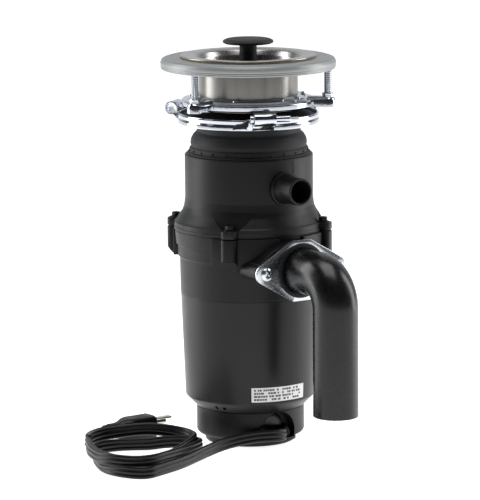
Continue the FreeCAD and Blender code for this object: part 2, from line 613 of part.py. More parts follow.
def make_mounting_ring():
    """Dished steel ring with three channel arms, its jack screws and the snap ring."""
    dish = turned([
        ("tube_radius + 0.2", "300"), ("46", "300"), ("54", "297.6"), ("mount_rim", "296"),
        ("mount_rim", "arm_low + 0.5"), ("mount_rim - 1.6", "arm_low + 0.5"),
        ("mount_rim - 1.6", "295"), ("53.4", "296"), ("46", "298.2"), ("tube_radius + 0.2", "298.2")])
    solids, threads, screws = [dish], [], []
    for angle in ARM_ANGLES:
        arm = radial_block(("screw_circle - mount_rim + 6", "13", "arm_high - arm_low"),
                           "mount_rim - 5.5", "arm_low", angle)
        tip = rod("6.5", "arm_high - arm_low", polar("screw_circle", angle, "arm_low"))
        hollow = join(
            radial_block(("screw_circle - mount_rim + 8", "10", "arm_high - arm_low - 1.5"),
                         "mount_rim - 7.5", "arm_low - 0.01", angle),
            rod("5", "arm_high - arm_low - 1.5", polar("screw_circle", angle, "arm_low - 0.01")))
        solids.append(cut(join(arm, tip), hollow))
        threads.append(rod("screw_radius", "10", polar("screw_circle", angle, "arm_high - 5")))
        screws.append(join(
            rod("screw_radius", "ring_top - ring_sheet - arm_high + 5",
                polar("screw_circle", angle, "arm_high - 5")),
            rod("4.2", "2.6", polar("screw_circle", angle, "arm_high - 7"))))
    keep("mounting_ring", cut(join(*solids), *threads))
    keep("mounting_screws", group(screws))
    snap = doc.addObject("Part::Torus", "snap")
    snap.setExpression("Radius1", bound("tube_radius + 1.3"))
    snap.setExpression("Radius2", bound("1.2"))
    snap.Angle3 = 330
    keep("snap_ring", place(snap, ("0", "0", "296.8")))


def make_stopper():
    """Lift-out stopper: moulded knob, stem and disc, with a rubber seal round the disc."""
    keep("stopper", turned([
        ("0", "plug_disc_z"), ("plug_disc_radius", "plug_disc_z"),
        ("plug_disc_radius", "plug_disc_z + 5"), ("stem_radius + 3", "plug_disc_z + 6"),
        ("stem_radius", "plug_disc_z + 9"), ("stem_radius", "knob_low"),
        ("knob_radius - 1.5", "knob_low"), ("knob_radius", "knob_low + 1.4"),
        ("knob_radius - 0.6", "knob_top - 1.6"), ("knob_radius - 4", "knob_top - 0.5"),
        ("knob_radius - 10", "knob_top"), ("0", "knob_top")]))
    keep("stopper_seal", turned([
        ("plug_disc_radius", "plug_disc_z + 1"), ("seal_radius - 1", "plug_disc_z"),
        ("seal_radius", "plug_disc_z + 2"), ("plug_disc_radius + 1.5", "plug_disc_z + 4"),
        ("plug_disc_radius", "plug_disc_z + 4")]))


# ------------------------------------------------------------------ electrical parts

def make_base_hardware():
    """Base screws, overload protector with its reset button, and the rectifier."""
    screws = []
    for angle in POST_ANGLES:
        screws.append(join(
            rod("3.8", "2.4", polar("post_circle", angle, "2")),
            rod("1.9", "bell_low + bell_thick - 5", polar("post_circle", angle, "4.4"))))
    keep("base_screws", group(screws))
    case = block(("20", "16", "14"), ("button_x - 10", "button_y - 8", "foot_top + 3"))
    keep("overload_protector", cut(case, rod("button_radius + 0.3", "10",
                                             ("button_x", "button_y", "foot_top + 2"))))
    keep("reset_button", join(
        rod("button_radius", "12", ("button_x", "button_y", "1.2")),
        rod("button_radius - 1.2", "0.6", ("button_x", "button_y", "0.6"))))
    keep("rectifier", block(("14", "22", "8"), ("6", "-29", "foot_top + 3")))


# ------------------------------------------------------------------ supply cord

# Hand-laid route of the cord's loose lead, from the strain relief to the first turn of the coil,
# and of its tail, from the last turn to the plug's neck.
LEAD = [(38.5, 8.5, 11.0), (50.0, 4.2, 11.4), (52.5, -8.5, 12.4), (46.5, -27.5, 12.6),
        (43.9, -53.6, 10.0), (52.8, -83.9, 6.4), (70.0, -114.4, 5.4), (84.0, -146.5, 5.4)]
TAIL = [(-12.0, -157.0, 15.0), (-26.5, -148.0, 13.0), (-39.5, -137.0, 11.0),
        (-48.2, -125.0, 10.2), (-51.5, -112.8, 10.0)]
COIL_CENTRE = (29.3, -125.7)
COIL_HALF = (76.0, 53.0)
COIL_HOLE = (46.0, 27.0)
GLAND_LENGTH = 10.0


def gland_axis_rod(radius, length):
    """A bar on the strain relief's axis that ends where the cord leaves it."""
    start, ahead = (FreeCAD.Vector(*point) for point in LEAD[:2])
    heading = (ahead - start).normalize()
    yaw = math.degrees(math.atan2(heading.y, heading.x))
    base = start - FreeCAD.Vector(heading.x, heading.y, 0) * float(length)
    return rod(radius, length, ("%g" % base.x, "%g" % base.y, "%g" % start.z), (yaw, 90, 0))


def make_gland():
    start, ahead = (FreeCAD.Vector(*point) for point in LEAD[:2])
    yaw = math.degrees(math.atan2(ahead.y - start.y, ahead.x - start.x))
    heading = FreeCAD.Vector(math.cos(math.radians(yaw)), math.sin(math.radians(yaw)), 0)
    base = start - heading * GLAND_LENGTH
    spot = ("%g" % base.x, "%g" % base.y, "%g" % base.z)
    keep("cord_gland", cone("7", "5.6", "%g" % GLAND_LENGTH, spot, (yaw, 90, 0)))


def rounded_path(points):
    """Straight runs joined by tangent arcs, as one wire; prints each arc's radius."""
    corners = [FreeCAD.Vector(*point) for point in points]
    edges, last, radii = [], corners[0], []
    for before, corner, after in zip(corners, corners[1:], corners[2:]):
        back, ahead = (before - corner), (after - corner)
        reach = 0.45 * min(back.Length, ahead.Length)
        back.normalize()
        ahead.normalize()
        half_turn = (math.pi - back.getAngle(ahead)) / 2
        radii.append(reach / math.tan(half_turn))
        enter, leave = corner + back * reach, corner + ahead * reach
        middle_way = (back + ahead).normalize()
        depth = radii[-1] / math.cos(half_turn) - radii[-1]
        edges.append(Part.LineSegment(last, enter).toShape())
        edges.append(Part.Arc(enter, corner + middle_way * depth, leave).toShape())
        last = leave
    edges.append(Part.LineSegment(last, corners[-1]).toShape())
    return Part.Wire(edges), radii


def make_cord_tube(name, points):
    path, radii = rounded_path(points)
    start = FreeCAD.Vector(*points[0])
    heading = (FreeCAD.Vector(*points[1]) - start).normalize()
    ring = Part.Wire(Part.Circle(start, heading, value("cord_radius")).toShape())
    feature = doc.addObject("Part::Feature", name)
    feature.Shape = path.makePipeShell([ring], True, False)
    expected = math.pi * value("cord_radius") ** 2 * path.Length
    print(name, "length %.1f" % path.Length, "volume ratio %.4f" % (feature.Shape.Volume / expected),
          "radii", " ".join("%.0f" % radius for radius in radii))
    keep(name, feature)


def make_cord_coil():
    """Oval ring that holds the loose turns of the flat cord."""
    centre = FreeCAD.Vector(COIL_CENTRE[0], COIL_CENTRE[1], 0)
    height = FreeCAD.Vector(0, 0, value("coil_top"))
    bodies = []
    for long_half, short_half in (COIL_HALF, COIL_HOLE):
        oval = Part.Ellipse(FreeCAD.Vector(), long_half, short_half).toShape()
        bodies.append(Part.Face(Part.Wire(oval)).extrude(height))
    feature = doc.addObject("Part::Feature", "cord_coil")
    feature.Shape = bodies[0].cut(bodies[1])
    feature.Placement = FreeCAD.Placement(centre, FreeCAD.Rotation(COIL_HEADING, 0, 0))
    keep("cord_coil", feature)


def make_plug():
    """Moulded three-pin cap that lies on its side, pointing along its heading."""
    neck = FreeCAD.Vector(*TAIL[-1])
    turn = FreeCAD.Rotation(CAP_HEADING, 0, 0)
    height, width, length = value("cap_half * 2"), value("cap_width"), value("cap_length")
    shoulder, collar = 10.0, 12.0

    def cross_section(distance, half_width, half_height):
        corners = [(distance, y * half_width, z * half_height)
                   for y, z in ((-1, -1), (1, -1), (1, 1), (-1, 1), (-1, -1))]
        return Part.makePolygon([FreeCAD.Vector(*corner) for corner in corners])

    start = collar
    sections = [cross_section(start, 6.0, 5.5),
                cross_section(start + shoulder, width / 2, height / 2),
                cross_section(start + shoulder + length, width / 2, height / 2)]
    body = Part.makeLoft(sections, True, True)
    sleeve = Part.makeCone(value("cord_radius") + 0.6, 5.4, collar + 1, FreeCAD.Vector(),
                           FreeCAD.Vector(1, 0, 0))
    cap = doc.addObject("Part::Feature", "plug_cap")
    cap.Shape = body.fuse(sleeve)
    cap.Placement = FreeCAD.Placement(neck, turn)
    keep("plug_cap", cap)
    front = start + shoulder + length
    pins = []
    for offset in (-6.35, 6.35):
        pins.append(Part.makeBox(18.0, 6.35, 1.5, FreeCAD.Vector(front, -7.2, offset - 0.75)))
    pins.append(Part.makeCylinder(2.4, 21.0, FreeCAD.Vector(front, 7.9, 0),
                                  FreeCAD.Vector(1, 0, 0)))
    blades = doc.addObject("Part::Feature", "plug_pins")
    blades.Shape = Part.makeCompound(pins)
    blades.Placement = FreeCAD.Placement(neck, turn)
    keep("plug_pins", blades)


# ------------------------------------------------------------------ build and write

for make in (make_end_cap, make_motor_can, make_label, make_end_bells, make_bearings, make_field,
             make_brush_gear, make_rotor, make_grinding_parts, make_lower_housing, make_hopper,
             make_joint_hardware, make_discharge, make_mount_cushion, make_lock_ring,
             make_sink_flange, make_mounting_ring, make_stopper, make_base_hardware, make_gland,
             make_cord_coil, make_plug):
    make()
make_cord_tube("cord_lead", LEAD)
make_cord_tube("cord_tail", TAIL)
doc.recompute()

faults = [item.Name for item in doc.Objects if "Invalid" in item.State or "Error" in item.State]
for name, item in nodes.items():
    if item.Shape.isNull() or not item.Shape.isValid() or not item.Shape.Solids:
        faults.append(name)
if faults:
    raise RuntimeError("failed objects: " + ", ".join(faults))

os.makedirs("parts", exist_ok=True)
for name, item in nodes.items():
    item.Shape.exportStep(os.path.join("parts", name + ".step"))
print(len(nodes), "nodes")
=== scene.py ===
import json
import math
import random

import bmesh
import bpy
from mathutils import Matrix, Vector


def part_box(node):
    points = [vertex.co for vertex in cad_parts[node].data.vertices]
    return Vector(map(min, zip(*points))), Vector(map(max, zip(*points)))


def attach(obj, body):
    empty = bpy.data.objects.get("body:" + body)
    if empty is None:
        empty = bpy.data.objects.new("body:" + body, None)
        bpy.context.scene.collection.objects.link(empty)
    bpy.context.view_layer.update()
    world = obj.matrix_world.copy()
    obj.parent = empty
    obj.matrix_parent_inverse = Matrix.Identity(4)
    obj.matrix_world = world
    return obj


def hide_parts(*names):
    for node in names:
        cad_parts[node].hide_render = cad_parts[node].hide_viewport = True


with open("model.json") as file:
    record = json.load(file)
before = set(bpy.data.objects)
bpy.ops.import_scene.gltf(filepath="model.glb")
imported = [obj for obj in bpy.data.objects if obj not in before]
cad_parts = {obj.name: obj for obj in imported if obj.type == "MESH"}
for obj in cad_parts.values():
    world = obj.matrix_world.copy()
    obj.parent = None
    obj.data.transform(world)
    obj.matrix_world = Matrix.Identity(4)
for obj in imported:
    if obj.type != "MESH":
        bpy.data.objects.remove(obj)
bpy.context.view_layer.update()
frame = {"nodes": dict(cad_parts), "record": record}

MM = 0.001
SEGMENTS = 180

# Angles about the rotor's axis, in degrees from +X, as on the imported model.
LUG_ANGLES = (-47.7, 42.3, 132.3, -137.7)
ARM_ANGLES = (-73.9, 46.1, 166.1)
EAR_ANGLES = (-21.5, 98.5, -141.5)
ALCOVE_ANGLE = -1.5
LABEL_ARC = (-32.0, 20.0)
PLUG_HEADING = 92.0
CHEEK_ARCS = ((-44.5, -10.0), (10.0, 44.5))
RIB_ANGLES = (72, 81, 90, 99, 108, 162, 171, 180, -171, -162)
VENT_ANGLES = (-67.4, -58.9)
FOOT_SCREW_ANGLES = (30, 150, 270)
DIMPLE_ANGLES = (-46, 1.5, 26, 74, 121, -166, -119)
MOULD_LINE_ANGLES = (10.2, -169.8)

# Sizes in millimetres that several pieces share.
CHAMFER_RADIUS, CHAMFER_TOP = 55.8, 40.6
TUBE_RADIUS, TUBE_BORE = 19.05, 16.85
CLAMP_SCREW_REACH = 35.5
LUG_TOP, LUG_SCREW_CIRCLE = 191.9, 65.2
LUG_REACH, LUG_HALF = 72.3, 6.8
EAR_CIRCLE, EAR_HEIGHT = 67.0, 286.6
JACK_CIRCLE, ARM_TOP = 68.7, 299.5


def extent(node):
    """Lowest and highest corner of a CAD node, in millimetres."""
    low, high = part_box(node)
    return low / MM, high / MM


def polar(radius, angle, height=0.0):
    """Point at a radius and an angle in degrees about the rotor's axis."""
    turn = math.radians(angle)
    return Vector((radius * math.cos(turn), radius * math.sin(turn), height))


def spin(angle):
    return Matrix.Rotation(math.radians(angle), 4, "Z")


def shift(x, y, z):
    return Matrix.Translation((x, y, z))


# A shape drawn upright about Z is laid along +X by this turn.
ALONG_X = Matrix.Rotation(math.radians(90), 4, "Y")
# A flat outline of radius and height is stood up facing along -Y by this turn.
UPRIGHT = Matrix.Rotation(math.radians(90), 4, "X")
# A flat outline is stood across Y and up Z, and its plate runs out along +X, by this turn.
FACING_X = Matrix(((0, 0, 1, 0), (1, 0, 0, 0), (0, 1, 0, 0), (0, 0, 0, 1)))


def outlet_height():
    """Height of the discharge outlet's axis."""
    low, high = extent("discharge_gasket")
    return (low.z + high.z) / 2


def outlet_axis(across=0.0):
    """Place with Z along +X, on the outlet's axis or beside it."""
    return shift(0, across, outlet_height()) @ ALONG_X


def rounded(corners, fine=14.0):
    """Closed outline whose corners, given as x, y and radius, become small arcs."""
    outline = []
    for index, (x, y, radius) in enumerate(corners):
        here = Vector((x, y))
        before = Vector(corners[index - 1][:2]) - here
        after = Vector(corners[(index + 1) % len(corners)][:2]) - here
        turn = before.angle(after)
        if radius <= 0 or math.pi - turn < 0.03:
            outline.append(here)
            continue
        reach = min(radius / math.tan(turn / 2), 0.48 * before.length, 0.48 * after.length)
        radius = reach * math.tan(turn / 2)
        start = here + before.normalized() * reach
        centre = here + (before.normalized() + after.normalized()).normalized() * (
            radius / math.sin(turn / 2))
        arm = start - centre
        finish = here + after.normalized() * reach - centre
        sweep = math.atan2(arm.x * finish.y - arm.y * finish.x, arm.dot(finish))
        steps = max(2, math.ceil(abs(math.degrees(sweep)) / fine))
        for step in range(steps + 1):
            part = sweep * step / steps
            outline.append(centre + Vector((
                arm.x * math.cos(part) - arm.y * math.sin(part),
                arm.x * math.sin(part) + arm.y * math.cos(part))))
    return outline


def refined(outline, longest):
    """The outline with its long edges divided."""
    points = []
    for start, end in zip(outline, outline[1:] + outline[:1]):
        count = max(1, math.ceil((end - start).length / longest))
        points += [start.lerp(end, step / count) for step in range(count)]
    return points


def arc(centre, radius, start, end, steps=16):
    """Points of an arc in the plane, from one angle to another in degrees."""
    turns = [math.radians(start + (end - start) * step / steps) for step in range(steps + 1)]
    return [Vector((centre[0] + radius * math.cos(turn), centre[1] + radius * math.sin(turn)))
            for turn in turns]


def thickened(path, thickness):
    """Closed outline of a bent sheet that follows a path in the plane."""
    left, right = [], []
    for index, point in enumerate(path):
        along = path[min(index + 1, len(path) - 1)] - path[max(index - 1, 0)]
        side = Vector((-along.y, along.x)).normalized() * thickness / 2
        left.append(point + side)
        right.append(point - side)
    return left + right[::-1]


class Shape:
    """Closed shells gathered in millimetres."""

    def __init__(self):
        self.vertices, self.faces = [], []

    def add(self, vertices, faces, matrix=Matrix()):
        start = len(self.vertices)
        self.vertices += [matrix @ Vector(vertex) for vertex in vertices]
        self.faces += [tuple(start + index for index in face) for face in faces]
        return self

    def merge(self, other, matrix=Matrix()):
        return self.add(other.vertices, other.faces, matrix)

    def loft(self, rings, wrap=False, matrix=Matrix()):
        """Skin between rings of equally many points, closed at both ends unless it wraps."""
        size, count = len(rings[0]), len(rings)
        faces = []
        for ring in range(count if wrap else count - 1):
            low, high = ring * size, (ring + 1) % count * size
            for index in range(size):
                after = (index + 1) % size
                faces.append((low + index, low + after, high + after, high + index))
        if not wrap:
            faces.append(tuple(reversed(range(size))))
            faces.append(tuple((count - 1) * size + index for index in range(size)))
        return self.add([point for ring in rings for point in ring], faces, matrix)

    def lathe(self, profile, matrix=Matrix(), segments=SEGMENTS):
        """A closed outline of radius and height turned about Z."""
        rings = []
        for step in range(segments):
            turn = 2 * math.pi * step / segments
            rings.append([(r * math.cos(turn), r * math.sin(turn), z) for r, z in profile])
        return self.loft(rings, wrap=True, matrix=matrix)

    def prism(self, outline, low, high, bevel=0.0, matrix=Matrix()):
        """A plate of a flat outline whose sharp edges are rounded."""
        rings = [[(x, y, z) for x, y in outline] for z in (low, high)]
        shell = Shape().loft(rings).as_bmesh()
        if bevel:
            sharp = [edge for edge in shell.edges if edge.calc_face_angle(0) > 0.6]
            bmesh.ops.bevel(shell, geom=sharp, offset=bevel, segments=3, profile=0.5,
                            affect="EDGES", clamp_overlap=True)
        return self.take(shell, matrix)

    def take(self, shell, matrix=Matrix()):
        shell.verts.index_update()
        self.add([vertex.co for vertex in shell.verts],
                 [[vertex.index for vertex in face.verts] for face in shell.faces], matrix)
        shell.free()
        return self

    def as_bmesh(self, scale=1.0):
        shell = bmesh.new()
        vertices = [shell.verts.new(vertex * scale) for vertex in self.vertices]
        for face in self.faces:
            shell.faces.new([vertices[index] for index in face])
        bmesh.ops.remove_doubles(shell, verts=shell.verts, dist=1e-4 * scale)
        bmesh.ops.recalc_face_normals(shell, faces=shell.faces)
        return shell

    def as_object(self, name, scale=1.0):
        mesh = bpy.data.meshes.new(name)
        shell = self.as_bmesh(scale)
        shell.to_mesh(mesh)
        shell.free()
        item = bpy.data.objects.new(name, mesh)
        bpy.context.scene.collection.objects.link(item)
        return item

    def combined(self, tool, operation):
        """The boolean of this shape and another closed shape."""
        items = [self.as_object("target"), tool.as_object("tool")]
        modifier = items[0].modifiers.new("combine", "BOOLEAN")
        modifier.solver, modifier.operation = "EXACT", operation
        modifier.object = items[1]
        solid = items[0].evaluated_get(bpy.context.evaluated_depsgraph_get())
        shell = bmesh.new()
        shell.from_mesh(solid.to_mesh())
        solid.to_mesh_clear()
        for item in items:
            bpy.data.meshes.remove(item.data)
        return Shape().take(shell)

    def cut(self, *tools):
        result = self
        for tool in tools:
            result = result.combined(tool, "DIFFERENCE")
        return result


def gathered(shapes):
    """Shapes that stand apart, held as one, so that a single boolean uses them all."""
    whole = Shape()
    for shape in shapes:
        whole.merge(shape)
    return whole


def sector(start, end, inner, outer):
    """Outline of a slice of a ring between two angles, with its outer corners taken off."""
    corner = 0.7 / outer * 57.3
    return ([polar(inner, start).xy] + arc((0, 0), outer, start + corner, end - corner, 12)
            + [polar(inner, end).xy]
            + arc((0, 0), inner, end, start, 12)[1:-1])


def tongue(inner, outer, half, corner=0.0, fine=14.0):
    """Outline of a bar along X whose far end has rounded corners."""
    return rounded([(inner, -half, 0), (outer, -half, corner), (outer, half, corner),
                    (inner, half, 0)], fine)


def disc(radius, low, high, bevel=0.0, inner=0.0):
    """Outline of a turned washer or bar with rounded rims."""
    hub = bevel if inner else 0.0
    return rounded([(inner, low, hub), (radius, low, bevel), (radius, high, bevel),
                    (inner, high, hub)])


def tube_along(path, outside, inside, around=96):
    """A hollow tube round a path of points, with both rims rounded a little."""
    rings = []
    rim = (outside - inside) * 0.3

    def ring(index, radius, push=0.0):
        point = path[index]
        along = (path[min(index + 1, len(path) - 1)] - path[max(index - 1, 0)]).normalized()
        side = along.cross(Vector((0, 1, 0))).normalized()
        up = side.cross(along)
        return [point + along * push + (side * math.cos(turn) + up * math.sin(turn)) * radius
                for turn in (2 * math.pi * step / around for step in range(around))]

    last = len(path) - 1
    rings.append(ring(0, outside - rim))
    rings.append(ring(0, outside, rim))
    rings += [ring(index, outside) for index in range(1, last)]
    rings.append(ring(last, outside, -rim))
    rings.append(ring(last, outside - rim))
    rings.append(ring(last, inside))
    rings += [ring(index, inside) for index in range(last - 1, 0, -1)]
    rings.append(ring(0, inside))
    return Shape().loft(rings, wrap=True)


def threaded(radius, depth, pitch, low, high, around=32):
    """A screw thread about Z: a bar whose radius follows a helix."""
    rings = []
    levels_per_turn = 8
    levels = math.ceil((high - low) / pitch * levels_per_turn)
    for level in range(levels + 1):
        z = low + (high - low) * level / levels
        ring = []
        for step in range(around):
            wave = abs(((z / pitch - step / around) % 1.0) * 2 - 1)
            ring.append(polar(radius - depth * wave, 360 * step / around, z))
        rings.append(ring)
    return Shape().loft(rings)


# ------------------------------------------------------------------ finishes

def finish(name, colour, roughness, metallic=0.0, shade=0.7, patch=22.0, spread=0.06,
           grain=1500.0, bump=0.00002, stretch=(1.0, 1.0, 1.0), specular=0.5,
           turned=False):
    """A finish whose colour, gloss and surface vary with layered noise."""
    material = bpy.data.materials.new(name)
    material.use_nodes = True
    nodes, links = material.node_tree.nodes, material.node_tree.links
    shader = nodes["Principled BSDF"]
    place = nodes.new("ShaderNodeTexCoord").outputs["Object"]
    if turned:
        # radius, angle and height take the place of X, Y and Z
        split = nodes.new("ShaderNodeSeparateXYZ")
        links.new(place, split.inputs[0])
        around = nodes.new("ShaderNodeMath")
        around.operation = "ARCTAN2"
        links.new(split.outputs["Y"], around.inputs[0])
        links.new(split.outputs["X"], around.inputs[1])
        flat = nodes.new("ShaderNodeVectorMath")
        flat.operation = "MULTIPLY"
        flat.inputs[1].default_value = (1.0, 1.0, 0.0)
        links.new(place, flat.inputs[0])
        reach = nodes.new("ShaderNodeVectorMath")
        reach.operation = "LENGTH"
        links.new(flat.outputs["Vector"], reach.inputs[0])
        gather = nodes.new("ShaderNodeCombineXYZ")
        links.new(reach.outputs["Value"], gather.inputs["X"])
        links.new(around.outputs[0], gather.inputs["Y"])
        links.new(split.outputs["Z"], gather.inputs["Z"])
        place = gather.outputs[0]
    spread_out = nodes.new("ShaderNodeMapping")
    spread_out.inputs["Scale"].default_value = stretch
    links.new(place, spread_out.inputs["Vector"])

    def noise(scale, detail):
        made = nodes.new("ShaderNodeTexNoise")
        made.inputs["Scale"].default_value = scale
        made.inputs["Detail"].default_value = detail
        links.new(spread_out.outputs["Vector"], made.inputs["Vector"])
        return made.outputs["Fac"]

    broad, fine = noise(patch, 4.0), noise(grain, 3.0)
    blend = nodes.new("ShaderNodeMix")
    blend.data_type = "RGBA"
    blend.inputs["A"].default_value = [channel * shade for channel in colour] + [1.0]
    blend.inputs["B"].default_value = list(colour) + [1.0]
    links.new(broad, blend.inputs["Factor"])
    links.new(blend.outputs["Result"], shader.inputs["Base Color"])
    both = nodes.new("ShaderNodeMath")
    both.operation = "ADD"
    links.new(broad, both.inputs[0])
    links.new(fine, both.inputs[1])
    gloss = nodes.new("ShaderNodeMapRange")
    gloss.inputs["From Min"].default_value = 0.6
    gloss.inputs["From Max"].default_value = 1.4
    gloss.inputs["To Min"].default_value = max(0.01, roughness - spread)
    gloss.inputs["To Max"].default_value = roughness + spread
    links.new(both.outputs[0], gloss.inputs["Value"])
    links.new(gloss.outputs["Result"], shader.inputs["Roughness"])
    relief = nodes.new("ShaderNodeBump")
    relief.inputs["Distance"].default_value = bump
    links.new(fine, relief.inputs["Height"])
    links.new(relief.outputs["Normal"], shader.inputs["Normal"])
    shader.inputs["Metallic"].default_value = metallic
    shader.inputs["Specular IOR Level"].default_value = specular
    return material


FINISH = {
    "moulded_black": finish("moulded_black", (0.0065, 0.0065, 0.007), 0.42, bump=0.00008,
                            grain=2200, shade=0.75, specular=0.25),
    "can_black": finish("can_black", (0.0055, 0.0055, 0.006), 0.34, bump=0.00003, grain=700,
                        specular=0.3),
    "elbow_black": finish("elbow_black", (0.004, 0.004, 0.0045), 0.27, spread=0.06, patch=38,
                          bump=0.00004, grain=240, specular=0.4),
    "knob_black": finish("knob_black", (0.01, 0.01, 0.01), 0.55, bump=0.0001, grain=2600,
                         specular=0.3),
    "screw_black": finish("screw_black", (0.005, 0.005, 0.006), 0.4, specular=0.22, grain=900),
    "rubber_black": finish("rubber_black", (0.008, 0.008, 0.0085), 0.6, bump=0.0001,
                           grain=1800, specular=0.3),
    "cord_black": finish("cord_black", (0.004, 0.004, 0.0045), 0.36, bump=0.00005, grain=1300,
                         specular=0.3),
    "chrome": finish("chrome", (0.63, 0.66, 0.71), 0.1, metallic=1.0, spread=0.04, shade=0.85,
                     grain=160, bump=0.00012, patch=60),
    # stainless for the flange bowl: the dark bands its shade makes round the axis are painted
    # reflections
    "stainless": finish("stainless", (0.5, 0.49, 0.47), 0.27, metallic=1.0, spread=0.07,
                        shade=0.35, patch=34, grain=1900, bump=0.00002,
                        stretch=(0.3, 0.05, 0.08), turned=True),
    "plated_steel": finish("plated_steel", (0.32, 0.33, 0.33), 0.48, metallic=0.6, spread=0.06,
                           shade=0.86, grain=1500, bump=0.00003, stretch=(1.0, 0.05, 1.0),
                           turned=True),
    # darker steel for the flange's tube: its deep dark bands round the axis are painted reflections
    "tube_steel_painted_reflection": finish("tube_steel_painted_reflection", (0.34, 0.33, 0.31), 0.3, metallic=1.0, spread=0.08,
                         shade=0.12, patch=60, grain=1900, bump=0.00002,
                         stretch=(0.3, 0.045, 0.05), turned=True),
    "zinc": finish("zinc", (0.66, 0.69, 0.73), 0.24, metallic=1.0, shade=0.86, patch=70,
                   spread=0.06, grain=900, bump=0.00002),
    "nickel": finish("nickel", (0.72, 0.69, 0.62), 0.2, metallic=1.0, grain=800),
    "fibre_brown": finish("fibre_brown", (0.46, 0.31, 0.15), 0.8, shade=0.6, patch=160,
                          bump=0.0002, grain=900),
    "label_white": finish("label_white", (0.82, 0.82, 0.81), 0.5, shade=0.95, bump=0.00002),
    "label_ink": finish("label_ink", (0.09, 0.09, 0.095), 0.6, shade=0.6),
    "cast_aluminium": finish("cast_aluminium", (0.55, 0.56, 0.57), 0.5, metallic=1.0,
                             bump=0.0003, grain=900),
    "bronze": finish("bronze", (0.5, 0.33, 0.17), 0.4, metallic=1.0),
    "copper": finish("copper", (0.62, 0.26, 0.12), 0.35, metallic=1.0, grain=3000,
                     bump=0.0002),
    "iron_dark": finish("iron_dark", (0.11, 0.11, 0.12), 0.55, metallic=0.8, bump=0.0002,
                        stretch=(0.1, 0.1, 1.0)),
    "phenolic": finish("phenolic", (0.2, 0.09, 0.04), 0.5, shade=0.6, patch=120),
    "carbon": finish("carbon", (0.03, 0.03, 0.03), 0.6, bump=0.0001),
    "button_red": finish("button_red", (0.5, 0.02, 0.02), 0.35),
}


def piece(name, shape, body, slot, stands_for=(), sharp=38, look=None):
    """Turn a shape into a shown object that rides on a body."""
    item = shape.as_object(name, MM)
    item.data.materials.append(FINISH[look or slot])
    item.data.shade_smooth()
    item.data.set_sharp_from_angle(angle=math.radians(sharp))
    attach(item, body)
    if stands_for:
        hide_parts(*stands_for)
    return item


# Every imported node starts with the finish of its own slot.
for row in frame["record"]["subparts"]:
    mesh = frame["nodes"][row["node"]].data
    mesh.materials.clear()
    mesh.materials.append(FINISH[row["material_slot"]])


# ------------------------------------------------------------------ base and can

def arch(width, centre_z, low):
    """Outline of a round-topped doorway, across and up."""
    half = width / 2
    return ([Vector((half, low))] + arc((0, centre_z), half, 0, 180, 32)
            + [Vector((-half, low))])


def cord_exit():
    """Place of the cord's exit, with Z along its first stretch."""
    heading = CORD_LEAD[1] - CORD_LEAD[0]
    yaw = math.degrees(math.atan2(heading.y, heading.x))
    return shift(*CORD_LEAD[0]) @ spin(yaw) @ ALONG_X


def make_base():
    """The foot, with its cord alcove, screw posts and the button's hole."""
    low, high = extent("end_cap")
    can_low = extent("motor_can")[0].z
    base, foot, ledge, wall, floor = -low.x, 39.0, 7.0, 2.5, 3.0
    shell = Shape().lathe(rounded([
        (0, 0, 0), (foot, 0, 2.4), (foot, ledge, 1.0), (base, ledge, 4.0), (base, can_low, 0.8),
        (base - wall, can_low, 0.5), (base - wall, ledge + floor, 1),
        (foot - wall, ledge + floor, 1), (foot - wall, floor, 1), (0, floor, 0)]))
    stand = spin(ALCOVE_ANGLE) @ FACING_X
    alcove_width, crown, sill, alcove_back, skin = 36.4, 12.6, 7.0, 33, 2
    liner_low = 4.6
    liner = Shape().prism(arch(alcove_width + 2 * skin, crown, liner_low), alcove_back - skin, 48,
                          0, stand)
    drum = Shape().lathe(disc(base - 0.7, liner_low, can_low - 0.1))
    liner = liner.combined(drum, "INTERSECT")
    pocket = Shape().prism(arch(alcove_width, crown, sill), alcove_back, 60, 0, stand)
    posts, holes = [], []
    for angle in FOOT_SCREW_ANGLES:
        spot = shift(*polar(24, angle))
        posts.append(Shape().lathe(disc(5.6, 2.5, high.z, 0.5), spot, 40))
        holes.append(Shape().lathe(disc(4, -2, 4.4), spot, 40))
    button = extent("reset_button")
    centre = (button[0] + button[1]) / 2
    holes.append(Shape().lathe(disc(4.2, -2, 12), shift(centre.x, centre.y, 0), 40))
    shell = shell.combined(liner, "UNION").cut(pocket)
    shell = shell.combined(gathered(posts), "UNION").cut(gathered(holes))
    shell = shell.cut(Shape().lathe(disc(7.05, -14, 0.5), cord_exit(), 48))
    piece("base_shell", shell, "disposer", "moulded_black", ("end_cap",), sharp=32)


def make_wiring_cover():
    radius, back, height = 11.2, 32.5, 17.2
    cover = Shape().lathe(rounded([
        (0, back, 0), (radius, back, 0), (radius, 34.8, 1.4), (8.6, 35.6, 0.5), (8.0, 34.9, 0.3),
        (7.2, 35.0, 0.3), (0, 35.4, 0)]), spin(ALCOVE_ANGLE) @ shift(0, 0, height) @ ALONG_X, 64)
    piece("wiring_cover", cover, "disposer", "moulded_black", look="elbow_black")


def make_strain_relief():
    gland = Shape().lathe(rounded([
        (3.0, -9.8, 0), (7.0, -9.8, 0.5), (6.6, -5.0, 0.6), (5.8, 0.2, 0.6), (5.4, 1.5, 0.6),
        (3.0, 1.5, 0)]), cord_exit(), 48)
    piece("strain_relief", gland, "disposer", "rubber_black", ("cord_gland",))


def can_radius(height):
    """Radius of the can's drafted side at a height."""
    top_radius, top = extent("motor_can")[1].x, extent("motor_can")[1].z
    return CHAMFER_RADIUS + (top_radius - CHAMFER_RADIUS) / (top - CHAMFER_TOP) * (
        height - CHAMFER_TOP)


